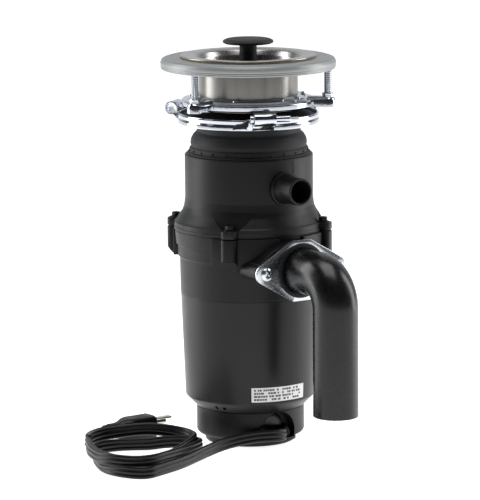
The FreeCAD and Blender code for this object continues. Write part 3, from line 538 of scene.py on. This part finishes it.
def make_can():
    low, high = extent("motor_can")
    wall, shoulder = 2.0, high.x
    base = -extent("end_cap")[0].x
    profile = rounded([
        (base - wall, low.z, 0), (base, low.z, 0.5), (CHAMFER_RADIUS, CHAMFER_TOP, 3.0),
        (shoulder, high.z - 0.5, 0.5), (shoulder, high.z, 0.2), (shoulder - wall, high.z, 0),
        (CHAMFER_RADIUS - wall, CHAMFER_TOP + 0.8, 2.0)])
    vents = [Shape().lathe(disc(1.6, 0, 8), shift(*polar(46, angle, 35.4)) @ spin(angle) @ ALONG_X,
                           32) for angle in VENT_ANGLES]
    piece("can_shell", Shape().lathe(profile).cut(gathered(vents)), "disposer", "can_black",
          ("motor_can",))


def can_patch(start, end, bottom, top, lift, depth, steps):
    """A thin plate bent round the can between two angles and two heights."""
    rings = []
    for step in range(steps + 1):
        angle = start + (end - start) * step / steps
        rings.append([polar(can_radius(z) + out, angle, z)
                      for z, out in ((bottom, lift), (bottom, lift + depth),
                                     (top, lift + depth), (top, lift))])
    return Shape().loft(rings)


def make_label():
    """A blank label whose rows of dark bars stand for print."""
    low, high = extent("label")
    bottom, top = low.z - 1.2, high.z - 1.2
    patch = can_patch(*LABEL_ARC, bottom, top, 0.1, 0.35, 48)
    piece("label_patch", patch, "disposer", "label_white", ("label",))
    chance = random.Random(7)
    ink = Shape()
    rise = (top - bottom) / 4.6
    for row in range(4):
        centre = top - rise * (row + 0.8)
        angle = LABEL_ARC[0] + 2.2
        while angle < LABEL_ARC[1] - 6:
            length = chance.uniform(1.2, 2.6)
            if chance.random() < 0.8 or angle < LABEL_ARC[0] + 8:
                ink.merge(can_patch(angle, angle + length, centre - rise * 0.3,
                                    centre + rise * 0.3, 0.42, 0.1, 3))
            angle += length + chance.choice((0.45, 0.45, 1.5))
    piece("label_print", ink, "disposer", "label_white", look="label_ink")


# ------------------------------------------------------------------ housing and hopper

def lug_outline(inner):
    """Outline of a screw lug, from inside the wall to its rounded end."""
    return tongue(inner, LUG_REACH, LUG_HALF, 4.6)


def add_lugs(shell, seam):
    """Lug columns with undercut feet, each on a band of thicker wall."""
    for angle in LUG_ANGLES:
        block = Shape().prism(lug_outline(57.5), 161.0, seam, 0.7)
        wedge = Shape().prism([Vector((63, 158)), Vector((76, 158)), Vector((76, 169)),
                               Vector((70.5, 165.5))], -10, 10, 0, UPRIGHT)
        shell.merge(block.cut(wedge), spin(angle))
        shell.prism(sector(angle - 16, angle + 16, 57.5, 65.2), 161.4, seam - 0.2, 0.5)


def add_cheeks(shell, seam):
    """Thick walls beside the outlet, with sloping lower edges."""
    for start, end in CHEEK_ARCS:
        cheek = Shape().prism(sector(start, end, 57.5, 66.2), 152.5, seam - 0.1, 0.6)
        side = 1 if start > 0 else -1
        slope = [Vector((across * side, up)) for across, up in (
            (74, 140), (10, 140), (10, 152), (30, 153), (46, 157.6), (74, 160))]
        shell.merge(cheek.cut(Shape().prism(slope, 20, 90, 0, FACING_X)))


def add_ribs(shell, seam):
    for angle in RIB_ANGLES:
        shell.prism(tongue(58, 64.2, 1.1, 0.5), 163, seam - 1.5, 0.3, spin(angle))


def add_outlet_boss(shell, face):
    """The round boss, and on each side a screw boss, fine ribs, a pad and a brace."""
    outlet = outlet_height()
    shell.lathe(rounded([(16.5, 54.5, 0), (24.0, 54.5, 0), (24.0, face, 0.8), (16.5, face, 0.5)]),
                outlet_axis(), 96)
    for sign in (-1, 1):
        shell.lathe(disc(7.2, 50, face, 0.7), outlet_axis(sign * CLAMP_SCREW_REACH), 48)
        for step in range(9):
            across = 26 + step * 1.4
            shell.prism(tongue(52, face - 1.2, 0.35), outlet + 5.5 - step * 0.15, outlet + 7.2,
                        0, shift(0, sign * across, 0))
        shell.prism(rounded([(face - 9, 20 * sign, 0), (face, 20 * sign, 1),
                             (face, 36 * sign, 1), (face - 9, 36 * sign, 0)]),
                    outlet - 6, outlet + 6, 0.8)
        brace = [Vector((across * sign, up)) for across, up in (
            (24, 17), (8, 24), (8, 8), (36, -5), (41, 3))]
        shell.prism(brace, 52, face - 0.8, 0.8, shift(0, 0, outlet) @ FACING_X)


def make_housing():
    low, high = extent("lower_housing")
    seam, face, inside = high.z, high.x, 56.4
    shell = Shape().lathe(rounded([
        (inside, low.z, 0), (59.1, low.z, 0.2), (59.1, low.z + 0.5, 0.2), (59.3, low.z + 1, 0.2),
        (59.9, 160.5, 0.8), (61.5, 162.2, 0.8), (61.6, 171.6, 0.4), (62.9, 172.6, 0.8),
        (63.9, seam, 0.5), (56.2, seam, 0.3), (56.2, 164, 0), (54.4, 164, 0), (54.4, 136, 1),
        (16.1, 136, 0.5), (16.1, 132, 0), (inside, 132, 0)]))
    shell = shell.cut(Shape().lathe(disc(16.5, 30, 76), outlet_axis(), 64))
    add_lugs(shell, seam)
    add_cheeks(shell, seam)
    add_ribs(shell, seam)
    add_outlet_boss(shell, face)
    piece("drain_housing", shell, "disposer", "moulded_black", ("lower_housing", "housing_bands"),
          sharp=32)


def make_hopper():
    """The hopper: a flared pot, scalloped round its screws, with the dishwasher inlet."""
    low, high = extent("hopper")
    floor, top, nipple, bore = low.z, high.z, 225.0, 9.7
    shell = Shape().lathe(rounded([
        (57, floor, 0.3), (64.5, floor, 0.6), (64.5, floor + 2.4, 0.3), (64.1, floor + 2.8, 0.2),
        (64.1, 191.6, 0.8), (62.6, 193.0, 0.5), (60.4, 196.7, 1.0), (57.7, 200.8, 0.5),
        (55.9, 205, 3.0), (54.9, 212, 4.0), (54.9, top, 1.1), (51.9, top, 0.5), (51.9, 212, 2),
        (54.2, 202, 2), (57, 196, 1)]))
    scallops = [Shape().lathe(rounded([(0, LUG_TOP, 0), (8.6, LUG_TOP, 0.8), (14.6, 196.4, 2),
                                       (21.5, 202.5, 0), (21.5, 206, 0), (0, 206, 0)]),
                              shift(*polar(66.5, angle)), 64) for angle in LUG_ANGLES]
    # the inner wall that the scallops lay bare
    liner = Shape().lathe(rounded([
        (57, floor, 0), (61.4, floor, 0), (61.4, 192, 0), (59.2, 197, 1), (57.3, 200.9, 1),
        (55.2, 207, 3), (54.85, 212, 0), (51.95, 212, 0), (54.3, 202, 2), (57.05, 196, 0)]))
    inlet = shift(0, 0, nipple) @ ALONG_X
    drain = Shape().lathe(disc(bore, 40, 66), inlet, 64)
    shell = shell.cut(gathered(scallops)).combined(liner, "UNION").cut(drain)
    for angle in LUG_ANGLES:
        shell.prism(lug_outline(58.5), floor, LUG_TOP, 0.8, spin(angle))
    shell.lathe(rounded([
        (bore, 52.9, 0), (14.3, 52.9, 0), (14.3, 56.9, 0.6), (13.0, 57.2, 0.4), (12.8, 60.0, 0.8),
        (11.6, 64.8, 0.8), (11.6, high.x, 0.9), (bore, high.x, 0.4)]), inlet, 80)
    for angle in MOULD_LINE_ANGLES:
        shell.prism(tongue(54.4, 55.15, 0.35, 0.1), 208, top - 2, 0, spin(angle))
    piece("hopper_shell", shell, "disposer", "moulded_black", ("hopper",), sharp=32)


def make_flange_bolts():
    """Hexagon heads with sockets, on washers."""
    screws = Shape()
    for angle in LUG_ANGLES:
        spot = shift(*polar(LUG_SCREW_CIRCLE, angle, LUG_TOP))
        screws.lathe(disc(5.1, 0, 0.9, 0.35), spot, 40)
        hexagon = [polar(3.9, 60 * step + 12).xy for step in range(6)]
        head = Shape().prism(hexagon, 0.8, 4.4, 0.5)
        socket = Shape().prism([polar(1.7, 60 * step).xy for step in range(6)], 2.4, 6)
        screws.merge(head.cut(socket), spot)
        screws.merge(threaded(2.4, 0.35, 1.6, -24, 0.4), spot)
    piece("flange_bolts", screws, "disposer", "screw_black", ("housing_screws",))


# ------------------------------------------------------------------ discharge

def make_elbow():
    """A tube out along +X, round a quarter bend and down, behind a flange."""
    low, high = extent("elbow")
    outlet, bottom = outlet_height(), low.z
    leg_x = high.x - TUBE_RADIUS
    bend, start, flange = 26.0, low.x, 2.0
    straight_steps, bend_steps, leg_steps = 8, 24, 12
    first = start + 1.9
    path = [Vector((first + (leg_x - bend - first) * step / straight_steps, 0, outlet))
            for step in range(straight_steps)]
    for step in range(bend_steps + 1):
        turn = math.radians(90 * step / bend_steps)
        path.append(Vector((leg_x - bend + bend * math.sin(turn), 0,
                            outlet - bend + bend * math.cos(turn))))
    path += [Vector((leg_x, 0, outlet - bend - (outlet - bend - bottom) * step / leg_steps))
             for step in range(1, leg_steps + 1)]
    shape = tube_along(path, TUBE_RADIUS, TUBE_BORE)
    shape.lathe(disc(22.6, start, start + flange, 0.4, TUBE_BORE), outlet_axis(), 96)
    piece("elbow_tube", shape, "discharge_elbow", "elbow_black", ("elbow",))


def make_clamp_plate():
    """The two-lobed plate round the tube, with a dark collar round its hole."""
    low, high = extent("flange_plate")
    back, front = low.x, high.x
    outlet = outlet_height()
    outline = refined(rounded([
        (54.5, 0, 9), (9, 26, 4), (-9, 26, 4), (-54.5, 0, 9), (-9, -26, 4), (9, -26, 4)], 10), 1.6)
    hole = [point.normalized() * (TUBE_RADIUS + 0.55) for point in outline]
    rings = [[(out, point.x * grow, outlet + point.y * grow) for point in points]
             for points, grow, out in (
                 (outline, 0.985, back), (outline, 1.0, back + 0.5), (outline, 1.0, front - 0.7),
                 (outline, 0.993, front - 0.2), (outline, 0.98, front), (hole, 1.06, front),
                 (hole, 1.0, front - 0.6), (hole, 1.0, back))]
    piece("clamp_plate", Shape().loft(rings, wrap=True), "disposer", "zinc", ("flange_plate",))
    inner = TUBE_RADIUS + 0.25
    collar = Shape().lathe(rounded([
        (inner, front - 0.6, 0), (23.4, front - 0.6, 0), (23.4, front + 0.5, 0.5),
        (21.2, front + 0.9, 0.5), (inner, front + 0.6, 0.3)]), outlet_axis(), 96)
    piece("outlet_collar", collar, "disposer", "rubber_black")


def make_clamp_screws():
    """Domed cross-slot screws."""
    front = extent("flange_plate")[1].x
    screws = Shape()
    for sign, turn in ((-1, 38), (1, -20)):
        spot = outlet_axis(sign * CLAMP_SCREW_REACH) @ spin(turn)
        head = Shape().lathe(rounded([(0, front, 0), (5.6, front, 0.2), (5.5, front + 1.2, 0.8),
                                      (3.6, front + 2.9, 1.5), (0, front + 3.3, 0)]), segments=64)
        slots = [Shape().prism(rounded([(-a, -b, 0.2), (a, -b, 0.2), (a, b, 0.2), (-a, b, 0.2)]),
                               front + 1.3, front + 6)
                 for a, b in ((3.4, 0.65), (0.65, 3.4))]
        screws.merge(head.cut(*slots), spot)
        screws.merge(threaded(2.4, 0.3, 1.2, front - 16, front + 0.3), spot)
    piece("clamp_screws", screws, "disposer", "zinc", ("flange_screws",))


# ------------------------------------------------------------------ sink mount

def make_boot():
    low, high = extent("mount_cushion")
    hopper_top = extent("hopper")[1].z
    skin = Shape().lathe(rounded([
        (40.5, low.z, 0.5), (51.7, low.z, 0.5), (51.7, hopper_top, 0), (52.9, hopper_top + 0.1, 0.3),
        (52.9, hopper_top + 1.6, 0.6), (50.7, hopper_top + 2.2, 0.4), (50.4, 255.2, 0.6),
        (49.2, 256.4, 0.5), (49.6, 257.6, 0.4), (49.9, 259.6, 1), (49.2, 263, 3),
        (47.3, 266.4, 3), (44.5, 268.8, 2), (44.5, 277.6, 1), (57.4, 277.6, 0.8),
        (58.4, 279, 0.8), (58.4, 282, 1), (43, high.z, 1), (40.5, high.z, 0.5)]))
    for step in range(24):
        skin.lathe(disc(1.0, 49.2, 51.4, 0.4),
                   shift(0, 0, hopper_top + 3.6) @ spin(15 * step + 4) @ ALONG_X, 16)
    piece("rubber_boot", skin, "disposer", "rubber_black", ("mount_cushion",))


def ear_web(angle):
    """The sheet that falls away from an ear along the band, as a loft."""
    lip = extent("lock_ring")[0].z
    rings = []
    for step in range(13):
        share = step / 12
        way = angle - 8.6 - 15.5 * share
        out = 63.4 - 2.4 * share ** 0.7
        upper = 286.0 - 6.5 * share ** 1.4 + 0.8 * math.sin(9 * share)
        bow = 1.1 * math.sin(math.pi * share)
        rings.append([polar(r, way, z) for r, z in (
            (out - 3.2, lip + 2.0), (out - 0.6, lip + 2.2), (out + bow, (lip + upper) / 2 - 1),
            (out - 0.3, upper - 1.0), (out - 1.4, upper), (out - 3.6, upper - 0.4),
            (out - 2.2, (lip + upper) / 2))])
    return Shape().loft(rings)


def make_lock_ring():
    """A pressed band with three curled ears."""
    lip, top, radius = extent("lock_ring")[0].z, 285.0, 60.8
    band = Shape().lathe(rounded([
        (47, lip + 0.2, 0), (radius - 1.6, lip, 0.3), (radius, lip + 0.8, 1.2),
        (radius - 0.2, lip + 4.2, 1.2), (radius - 0.9, lip + 5.6, 1.0),
        (radius - 0.5, top - 1.2, 0.8), (radius - 0.9, top, 0.5), (radius - 2.2, top, 0.4),
        (radius - 2.4, lip + 1.8, 0.6), (47, lip + 1.8, 0)]))
    half, curl, sheet_thickness = 9.3, 5.2, 1.4
    path = ([Vector((58.9, lip + 1.3)), Vector((60.6, lip + 1.9)), Vector((62.6, lip + 3.6))]
            + arc((EAR_CIRCLE, EAR_HEIGHT), curl, -125, 208, 30))
    sheet = thickened(path, sheet_thickness)
    for angle in EAR_ANGLES:
        band.prism(sheet, -half, half, 0.35, spin(angle) @ UPRIGHT)
        band.merge(ear_web(angle))
    piece("locking_band", band, "locking_ring", "chrome", ("lock_ring",))


def make_ear_bolt():
    angle = EAR_ANGLES[0]
    bolt = Shape().lathe(rounded([(0, -12.5, 0), (3.9, -12.5, 0.6), (3.9, -9.5, 0.6),
                                  (2.75, -9.5, 0), (2.75, 21.8, 0.6), (1.4, 22.4, 0.3),
                                  (1.3, 29.4, 0.5), (0, 29.7, 0)]),
                         shift(*polar(EAR_CIRCLE, angle, EAR_HEIGHT)) @ spin(angle + 90) @ ALONG_X,
                         32)
    piece("ear_bolt", bolt, "locking_ring", "chrome", ("clamp_bolt",))


def make_sink_flange():
    """The bowl-shaped flange, and over its tube a thin sleeve that carries painted reflections."""
    low, high = extent("sink_flange")
    rim, top, tube, bore = high.x, high.z, 42, 41
    piece("flange_bowl", Shape().lathe(rounded([
        (bore, low.z, 0.3), (tube, low.z, 0.3), (tube, 322.5, 2), (43.6, 328.5, 2),
        (46.2, top - 1.3, 0.8), (rim - 0.6, top - 1.5, 0.3), (rim, top - 1.0, 0.5),
        (rim - 0.2, top - 0.2, 0.5), (rim - 1.8, top, 0.8), (48.2, top - 0.3, 1.0),
        (44.85, top - 1.4, 1.5), (42.4, 328.7, 2), (bore, 322.9, 2)])),
        "sink_mount", "stainless", ("sink_flange",))
    # a thin sleeve over the flange's tube, there only to carry the painted reflections of the banded
    # steel
    piece("painted_reflection_sleeve", Shape().lathe(disc(tube + 0.35, low.z + 0.2, 322.2, 0.25, tube - 0.2)),
          "sink_mount", "stainless", look="tube_steel_painted_reflection")


def make_fibre_washer():
    low, high = extent("fibre_gasket")
    bore = 46.9
    piece("fibre_washer", Shape().lathe(rounded([
        (bore, low.z, 0), (high.x, low.z, 0.4), (high.x - 0.2, high.z, 0.3), (bore, high.z, 0)])),
        "sink_mount", "fibre_brown", ("fibre_gasket",))


def make_backup_flange():
    """The wide ring under the sink, with a stepped rim and a turned groove."""
    low, high = extent("backup_ring")
    out, top, bore = high.x, high.z, 46.4
    piece("backup_flange", Shape().lathe(rounded([
        (bore, top - 2.4, 0), (out - 4, top - 2.4, 1), (out - 2.4, top - 4.5, 1),
        (out - 2.4, low.z, 0.4), (out - 0.9, low.z, 0.5), (out - 0.35, low.z + 1.2, 0.4),
        (out - 0.6, low.z + 1.9, 0.2), (out - 0.1, low.z + 2.5, 0.4),
        (out - 0.35, low.z + 3.4, 0.2), (out, low.z + 4.2, 0.5), (out, top - 3.4, 1.4),
        (out - 1.4, top - 0.9, 1.6), (out - 4.2, top, 2.0), (out - 8.6, top - 0.15, 0.3),
        (out - 9.2, top - 0.5, 0.2), (out - 9.8, top - 0.15, 0.3), (bore, top - 0.1, 0)])),
        "sink_mount", "plated_steel", ("backup_ring",))


def mounting_arm():
    """An arm along +X with a domed end and a raised seat round its screw."""
    inner, outer, half, bottom = 52.0, 75.2, 6.5, extent("mounting_ring")[0].z
    outside = tongue(inner, outer, half, 6.2, 12)
    rings = []
    for inset, z in ((1.4, ARM_TOP - 1.6), (1.4, bottom), (0, bottom), (0, ARM_TOP - 3.6),
                     (0.3, ARM_TOP - 2.4), (0.9, ARM_TOP - 1.3), (2.0, ARM_TOP - 0.4),
                     (3.6, ARM_TOP)):
        scale = (half - inset) / half
        rings.append([(inner + (point.x - inner) * (outer - inset - inner) / (outer - inner),
                       point.y * scale, z) for point in outside])
    arm = Shape().loft(rings)
    return arm.lathe(disc(4.6, ARM_TOP - 0.4, ARM_TOP + 1.0, 0.4, 3.2), shift(JACK_CIRCLE, 0, 0), 40)


def make_mounting_ring():
    """A dished ring with three arms, small fins beside them, and raised dimples."""
    collar_top = extent("mounting_ring")[1].z + 0.2
    dish = Shape().lathe(rounded([
        (42.2, 298.6, 0), (42.2, collar_top, 0.4), (43.6, collar_top, 0.8), (45.4, 298.9, 1.0),
        (47.4, 298.3, 0.8), (49.6, 299.3, 1.2), (52.0, 298.6, 1.0), (53.6, 296.6, 1.0),
        (55.8, 297.2, 1.2), (57.6, 295.8, 1.4), (57.6, 292.2, 0.9), (56.6, 291.2, 0.5),
        (55.8, 291.6, 0.4), (55.6, 294.6, 0.8), (53.4, 295.0, 0.8), (51.6, 297.0, 0.8),
        (47.4, 296.9, 0.8), (44.0, 298.0, 0.8)]))
    arm = mounting_arm()
    for angle in ARM_ANGLES:
        dish.merge(arm, spin(angle))
        for way in (9, -9):
            dish.prism(tongue(52, 58.8, 1, 0.4), 292.4, 297.0, 0.4, spin(angle + way))
    for angle in DIMPLE_ANGLES:
        dish.lathe(rounded([(0, 0, 0), (2.3, 0, 0), (1.9, 1.1, 0.6), (0, 1.7, 0)]),
                   shift(*polar(48.8, angle, 298.9)), 24)
    piece("mounting_plate", dish, "sink_mount", "chrome", ("mounting_ring",))


def make_jack_screws():
    screws = Shape()
    low, high = extent("mounting_screws")
    for angle in ARM_ANGLES:
        spot = shift(*polar(JACK_CIRCLE, angle))
        screws.merge(threaded(3.5, 0.8, 1.7, low.z + 2.4, high.z), spot)
        screws.lathe(rounded([(0, low.z, 0), (3.4, low.z, 0.6), (4.2, low.z + 1.0, 0.5),
                              (4.2, low.z + 2.6, 0.3), (0, low.z + 2.6, 0)]), spot, 32)
        nut = [polar(5.0, 60 * step).xy for step in range(6)]
        screws.prism(nut, ARM_TOP + 0.8, ARM_TOP + 3.2, 0.5, spot)
    piece("jack_screws", screws, "sink_mount", "zinc", ("mounting_screws",))


def make_stopper():
    """A disc on a stem with a mushroom knob, and the seal round the disc."""
    low, high = extent("stopper")
    top, knob, stem = high.z, 21.8, 7.35
    piece("stopper_knob", Shape().lathe(rounded([
        (0, low.z, 0), (36, low.z, 1), (36, low.z + 5, 1.5), (10.3, low.z + 6, 2),
        (stem, low.z + 9, 2), (stem, top - 5.0, 1.4), (knob - 2.0, top - 5.0, 1.0),
        (knob, top - 4.0, 1.2), (knob - 0.3, top - 2.4, 1.2), (knob - 3.2, top - 0.9, 5.0),
        (9.0, top, 12), (0, top, 0)])),
        "sink_stopper", "knob_black", ("stopper",))
    piece("stopper_gasket", Shape().lathe(rounded([
        (35.8, low.z + 1, 0), (39.6, low.z, 0.5), (40.6, low.z + 2, 0.8), (37.5, low.z + 4, 0.6),
        (35.8, low.z + 4, 0)])), "sink_stopper", "rubber_black", ("stopper_seal",))


# ------------------------------------------------------------------ supply cord

# Route: the loose lead to the coil, and the tail from the coil to the plug's neck.
CORD_LEAD = [Vector(point) for point in (
    (38.5, 8.5, 11.0), (50.0, 4.2, 11.4), (52.5, -8.5, 12.4), (46.5, -27.5, 12.6),
    (43.9, -53.6, 10.0), (52.8, -83.9, 6.4), (69.0, -113.4, 5.4), (78.0, -136.6, 5.4))]
CORD_TAIL = [Vector(point) for point in (
    (-12.0, -157.0, 15.0), (-26.5, -148.0, 13.0), (-39.5, -137.0, 11.0), (-48.2, -125.0, 10.2),
    (-51.5, -112.8, 10.0))]
COIL_CENTRE = Vector((4.1, -107.6, 0.0))
COIL_FRONT, COIL_LEFT = Vector((0.8387, -0.5446, 0)), Vector((-0.5446, -0.8387, 0))
# Reach and height of the ribbon's centre at each quarter turn, front, left, back, right.
COIL_STATIONS = ((99, 5.4), (44, 5.6), (14, 5.6), (47, 9), (94, 13.5), (50, 13), (27, 16),
                 (42, 13), (62, 6), (49, 12))
# How full each quarter's arc is: two makes an oval, less is flatter.
COIL_FULLNESS = (2.6, 2.0, 2.0, 1.3)
RIBBON_WIDTH, CORD_LENGTH = 10.8, 0.95


def coil_points():
    """The loose turns: each quarter is an arc of an oval between two stations."""
    points = []
    for index, (start, end) in enumerate(zip(COIL_STATIONS, COIL_STATIONS[1:])):
        for step in range(4):
            share = step / 4
            swing = math.radians(90 * share)
            full = COIL_FULLNESS[index % 4]
            reach = ((math.cos(swing) / start[0]) ** full
                     + (math.sin(swing) / end[0]) ** full) ** (-1 / full)
            turn = math.radians(90 * (index + share))
            rise = start[1] + (end[1] - start[1]) * share * share * (3 - 2 * share)
            across = COIL_FRONT * math.cos(turn) + COIL_LEFT * math.sin(turn)
            points.append(COIL_CENTRE + across * reach + Vector((0, 0, rise)))
    last = COIL_STATIONS[-1]
    return points + [COIL_CENTRE + COIL_LEFT * last[0] + Vector((0, 0, last[1]))]


def route(points):
    """Points along one smooth spline whose control points are given, in millimetres."""
    curve = bpy.data.curves.new("route", "CURVE")
    curve.dimensions = "3D"
    curve.resolution_u = 10
    spline = curve.splines.new("NURBS")
    spline.points.add(len(points) - 1)
    for point, control in zip(spline.points, points):
        point.co = (*control, 1.0)
    spline.order_u = 3
    spline.use_endpoint_u = True
    item = bpy.data.objects.new("route", curve)
    bpy.context.scene.collection.objects.link(item)
    bpy.context.view_layer.update()
    line = bpy.data.meshes.new_from_object(
        item.evaluated_get(bpy.context.evaluated_depsgraph_get()))
    path = [vertex.co.copy() for vertex in line.vertices]
    bpy.data.curves.remove(curve)
    bpy.data.meshes.remove(line)
    return path


def ribbon_section():
    """Three wires side by side in one flat jacket, as a closed outline."""
    lobes = ((-3.45, 1.95), (0.0, 2.35), (3.45, 1.95))
    half, steps = RIBBON_WIDTH / 2, 26
    side = []
    for step in range(steps + 1):
        across = -half * math.cos(math.pi * step / steps)
        depth = max(math.sqrt(max(0.0, r * r - (across - c) ** 2)) for c, r in lobes)
        waist = 1.35 if abs(across) < 3.45 else 0.0
        side.append(Vector((max(depth, waist), across)))
    return side + [Vector((-point.x, point.y)) for point in side[-2:0:-1]]


def ribbon(path):
    """The cord's section carried along a path, standing on its edge."""
    section = ribbon_section()
    rings = []
    for index, point in enumerate(path):
        along = (path[min(index + 1, len(path) - 1)] - path[max(index - 1, 0)]).normalized()
        side = along.cross(Vector((0, 0, 1))).normalized()
        up = side.cross(along)
        rings.append([point + side * corner.x + up * corner.y for corner in section])
    return Shape().loft(rings)


def plug_shape(lie):
    """A moulded plug: a body that swells from its neck, with collars and grip ribs."""
    cap = Shape()
    # distance along, half width, half height and squareness of each section
    sections = [(-5.0, 4.0, 5.5, 2.4), (-4.6, 4.6, 6.0, 2.4), (0.0, 5.0, 6.3, 2.6),
                (8.0, 6.0, 6.9, 2.8), (11.5, 6.6, 7.5, 3.0), (14.5, 8.4, 8.6, 3.4),
                (18.0, 10.3, 9.5, 3.6), (22.0, 10.9, 9.9, 4.0), (30.0, 10.6, 9.7, 4.4),
                (38.0, 10.8, 9.8, 4.4), (42.6, 11.0, 10.0, 4.4), (43.6, 10.8, 9.7, 4.4),
                (44.0, 10.1, 9.0, 4.4)]
    rings = []
    for out, wide, tall, power in sections:
        ring = []
        for step in range(64):
            turn = 2 * math.pi * step / 64
            c, s = math.cos(turn), math.sin(turn)
            ring.append((out, wide * math.copysign(abs(c) ** (2 / power), c),
                         tall * math.copysign(abs(s) ** (2 / power), s)))
        rings.append(ring)
    cap.loft(rings, matrix=lie)
    for step in range(4):
        cap.lathe(disc(6.9, 0.4 + 2.4 * step, 1.7 + 2.4 * step, 0.4, 4.5), lie @ ALONG_X, 40)
    for sign in (-1, 1):
        face = lie @ Matrix.Rotation(math.radians(90 - 90 * sign), 4, "X")
        for step in range(5):
            start, end = 25 + 2.6 * step, 26.2 + 2.6 * step
            cap.prism(rounded([(start, -5.5, 0.5), (end, -5.5, 0.5), (end, 5.5, 0.5),
                               (start, 5.5, 0.5)]), 9.2, 9.95, 0.25, face)
    return cap


def pins_shape(lie):
    """Two flat blades with holes, and the round earth pin."""
    pins = Shape()
    for offset in (-6.35, 6.35):
        blade = Shape().prism(rounded([(43, -7.2, 0), (60.6, -7.2, 0), (62, -6.2, 0.3),
                                       (62, -1.85, 0.3), (60.6, -0.85, 0), (43, -0.85, 0)]),
                              -0.75, 0.75, 0.2)
        hole = Shape().lathe(disc(1.5, -3, 3), shift(57.5, -4.0, 0), 24)
        pins.merge(blade.cut(hole), lie @ shift(0, 0, offset))
    return pins.lathe(rounded([(0, 43, 0), (2.4, 43, 0), (2.4, 63.6, 1.2), (1.2, 65, 0.8),
                               (0, 65, 0)]), lie @ shift(0, 7.9, 0) @ ALONG_X, 32)


def make_cord():
    path = route(CORD_LEAD + coil_points() + CORD_TAIL)
    cord = piece("supply_cord", ribbon(path), "disposer", "cord_black",
                 ("cord_lead", "cord_coil", "cord_tail"), sharp=60)
    lie = shift(*CORD_TAIL[-1]) @ spin(PLUG_HEADING)
    cap = piece("plug_body", plug_shape(lie), "disposer", "cord_black", ("plug_cap",))
    pins = piece("plug_blades", pins_shape(lie), "disposer", "nickel", ("plug_pins",))


# ------------------------------------------------------------------ stage

def make_floor():
    material = bpy.data.materials.new("pale_floor")
    material.use_nodes = True
    shader = material.node_tree.nodes["Principled BSDF"]
    shader.inputs["Base Color"].default_value = (0.85, 0.85, 0.85, 1.0)
    shader.inputs["Roughness"].default_value = 0.6
    shader.inputs["Emission Color"].default_value = (1.0, 1.0, 1.0, 1.0)
    shader.inputs["Emission Strength"].default_value = 0.9
    bpy.ops.mesh.primitive_circle_add(vertices=96, radius=14, fill_type="NGON")
    floor = bpy.context.object
    floor.name = "floor"
    floor.data.materials.append(material)


def make_world():
    """White to the camera, and to the object a dark studio with a bright wall behind it."""
    world = bpy.data.worlds.new("studio")
    bpy.context.scene.world = world
    world.use_nodes = True
    nodes, links = world.node_tree.nodes, world.node_tree.links
    shown, lit = nodes["Background"], nodes.new("ShaderNodeBackground")
    shown.inputs["Color"].default_value = (1, 1, 1, 1)
    lit.inputs["Color"].default_value = (0.93, 0.96, 1.0, 1)
    way, facing = nodes.new("ShaderNodeTexCoord"), nodes.new("ShaderNodeVectorMath")
    facing.operation = "DOT_PRODUCT"
    facing.inputs[1].default_value = (-0.815, 0.53, 0.23)
    links.new(way.outputs["Generated"], facing.inputs[0])
    wall = nodes.new("ShaderNodeMapRange")
    wall.interpolation_type = "SMOOTHSTEP"
    wall.inputs["From Min"].default_value = 0.5
    wall.inputs["From Max"].default_value = 0.95
    wall.inputs["To Min"].default_value = 0.04
    wall.inputs["To Max"].default_value = 0.75
    links.new(facing.outputs["Value"], wall.inputs["Value"])
    links.new(wall.outputs["Result"], lit.inputs["Strength"])
    mix, path = nodes.new("ShaderNodeMixShader"), nodes.new("ShaderNodeLightPath")
    links.new(path.outputs["Is Camera Ray"], mix.inputs["Fac"])
    links.new(lit.outputs[0], mix.inputs[1])
    links.new(shown.outputs[0], mix.inputs[2])
    links.new(mix.outputs[0], nodes["World Output"].inputs["Surface"])


def make_lamps():
    """Softboxes, given by heading from +X, distance, height, width, length and power."""
    for name, heading, reach, height, wide, tall, power in (
            ("left_box", -136, 1.3, 0.55, 0.5, 1.5, 13),
            ("right_box", 70, 1.3, 0.55, 0.5, 1.5, 13),
            ("top_box", -33, 0.2, 1.7, 1.1, 1.1, 15)):
        lamp = bpy.data.lights.new(name, "AREA")
        lamp.shape, lamp.size, lamp.size_y, lamp.energy = "RECTANGLE", wide, tall, power
        item = bpy.data.objects.new(name, lamp)
        bpy.context.scene.collection.objects.link(item)
        item.location = polar(reach, heading, height)
        item.rotation_euler = (Vector((0, 0, 0.17)) - item.location).to_track_quat(
            "-Z", "Y").to_euler()


def make_camera():
    camera = bpy.data.cameras.new("camera")
    camera.lens, camera.sensor_width = 258.8, 36.0
    camera.clip_start, camera.clip_end = 0.1, 60.0
    item = bpy.data.objects.new("camera", camera)
    bpy.context.scene.collection.objects.link(item)
    item.location = (2.5572, -1.6586, 0.6768)
    aim = Vector((-0.0044, -0.0068, 0.165))
    roll = math.radians(-0.4)
    level = (aim - item.location).to_track_quat("-Z", "Y").to_matrix()
    item.rotation_euler = (level @ Matrix.Rotation(roll, 3, "Z")).to_euler()
    bpy.context.scene.camera = item
    bpy.context.scene.view_settings.view_transform = "Standard"


make_cord()
make_base()
make_wiring_cover()
make_strain_relief()
make_can()
make_label()
make_housing()
make_hopper()
make_flange_bolts()
make_elbow()
make_clamp_plate()
make_clamp_screws()
make_boot()
make_lock_ring()
make_ear_bolt()
make_sink_flange()
make_fibre_washer()
make_backup_flange()
make_mounting_ring()
make_jack_screws()
make_stopper()
make_floor()
make_world()
make_lamps()
make_camera()
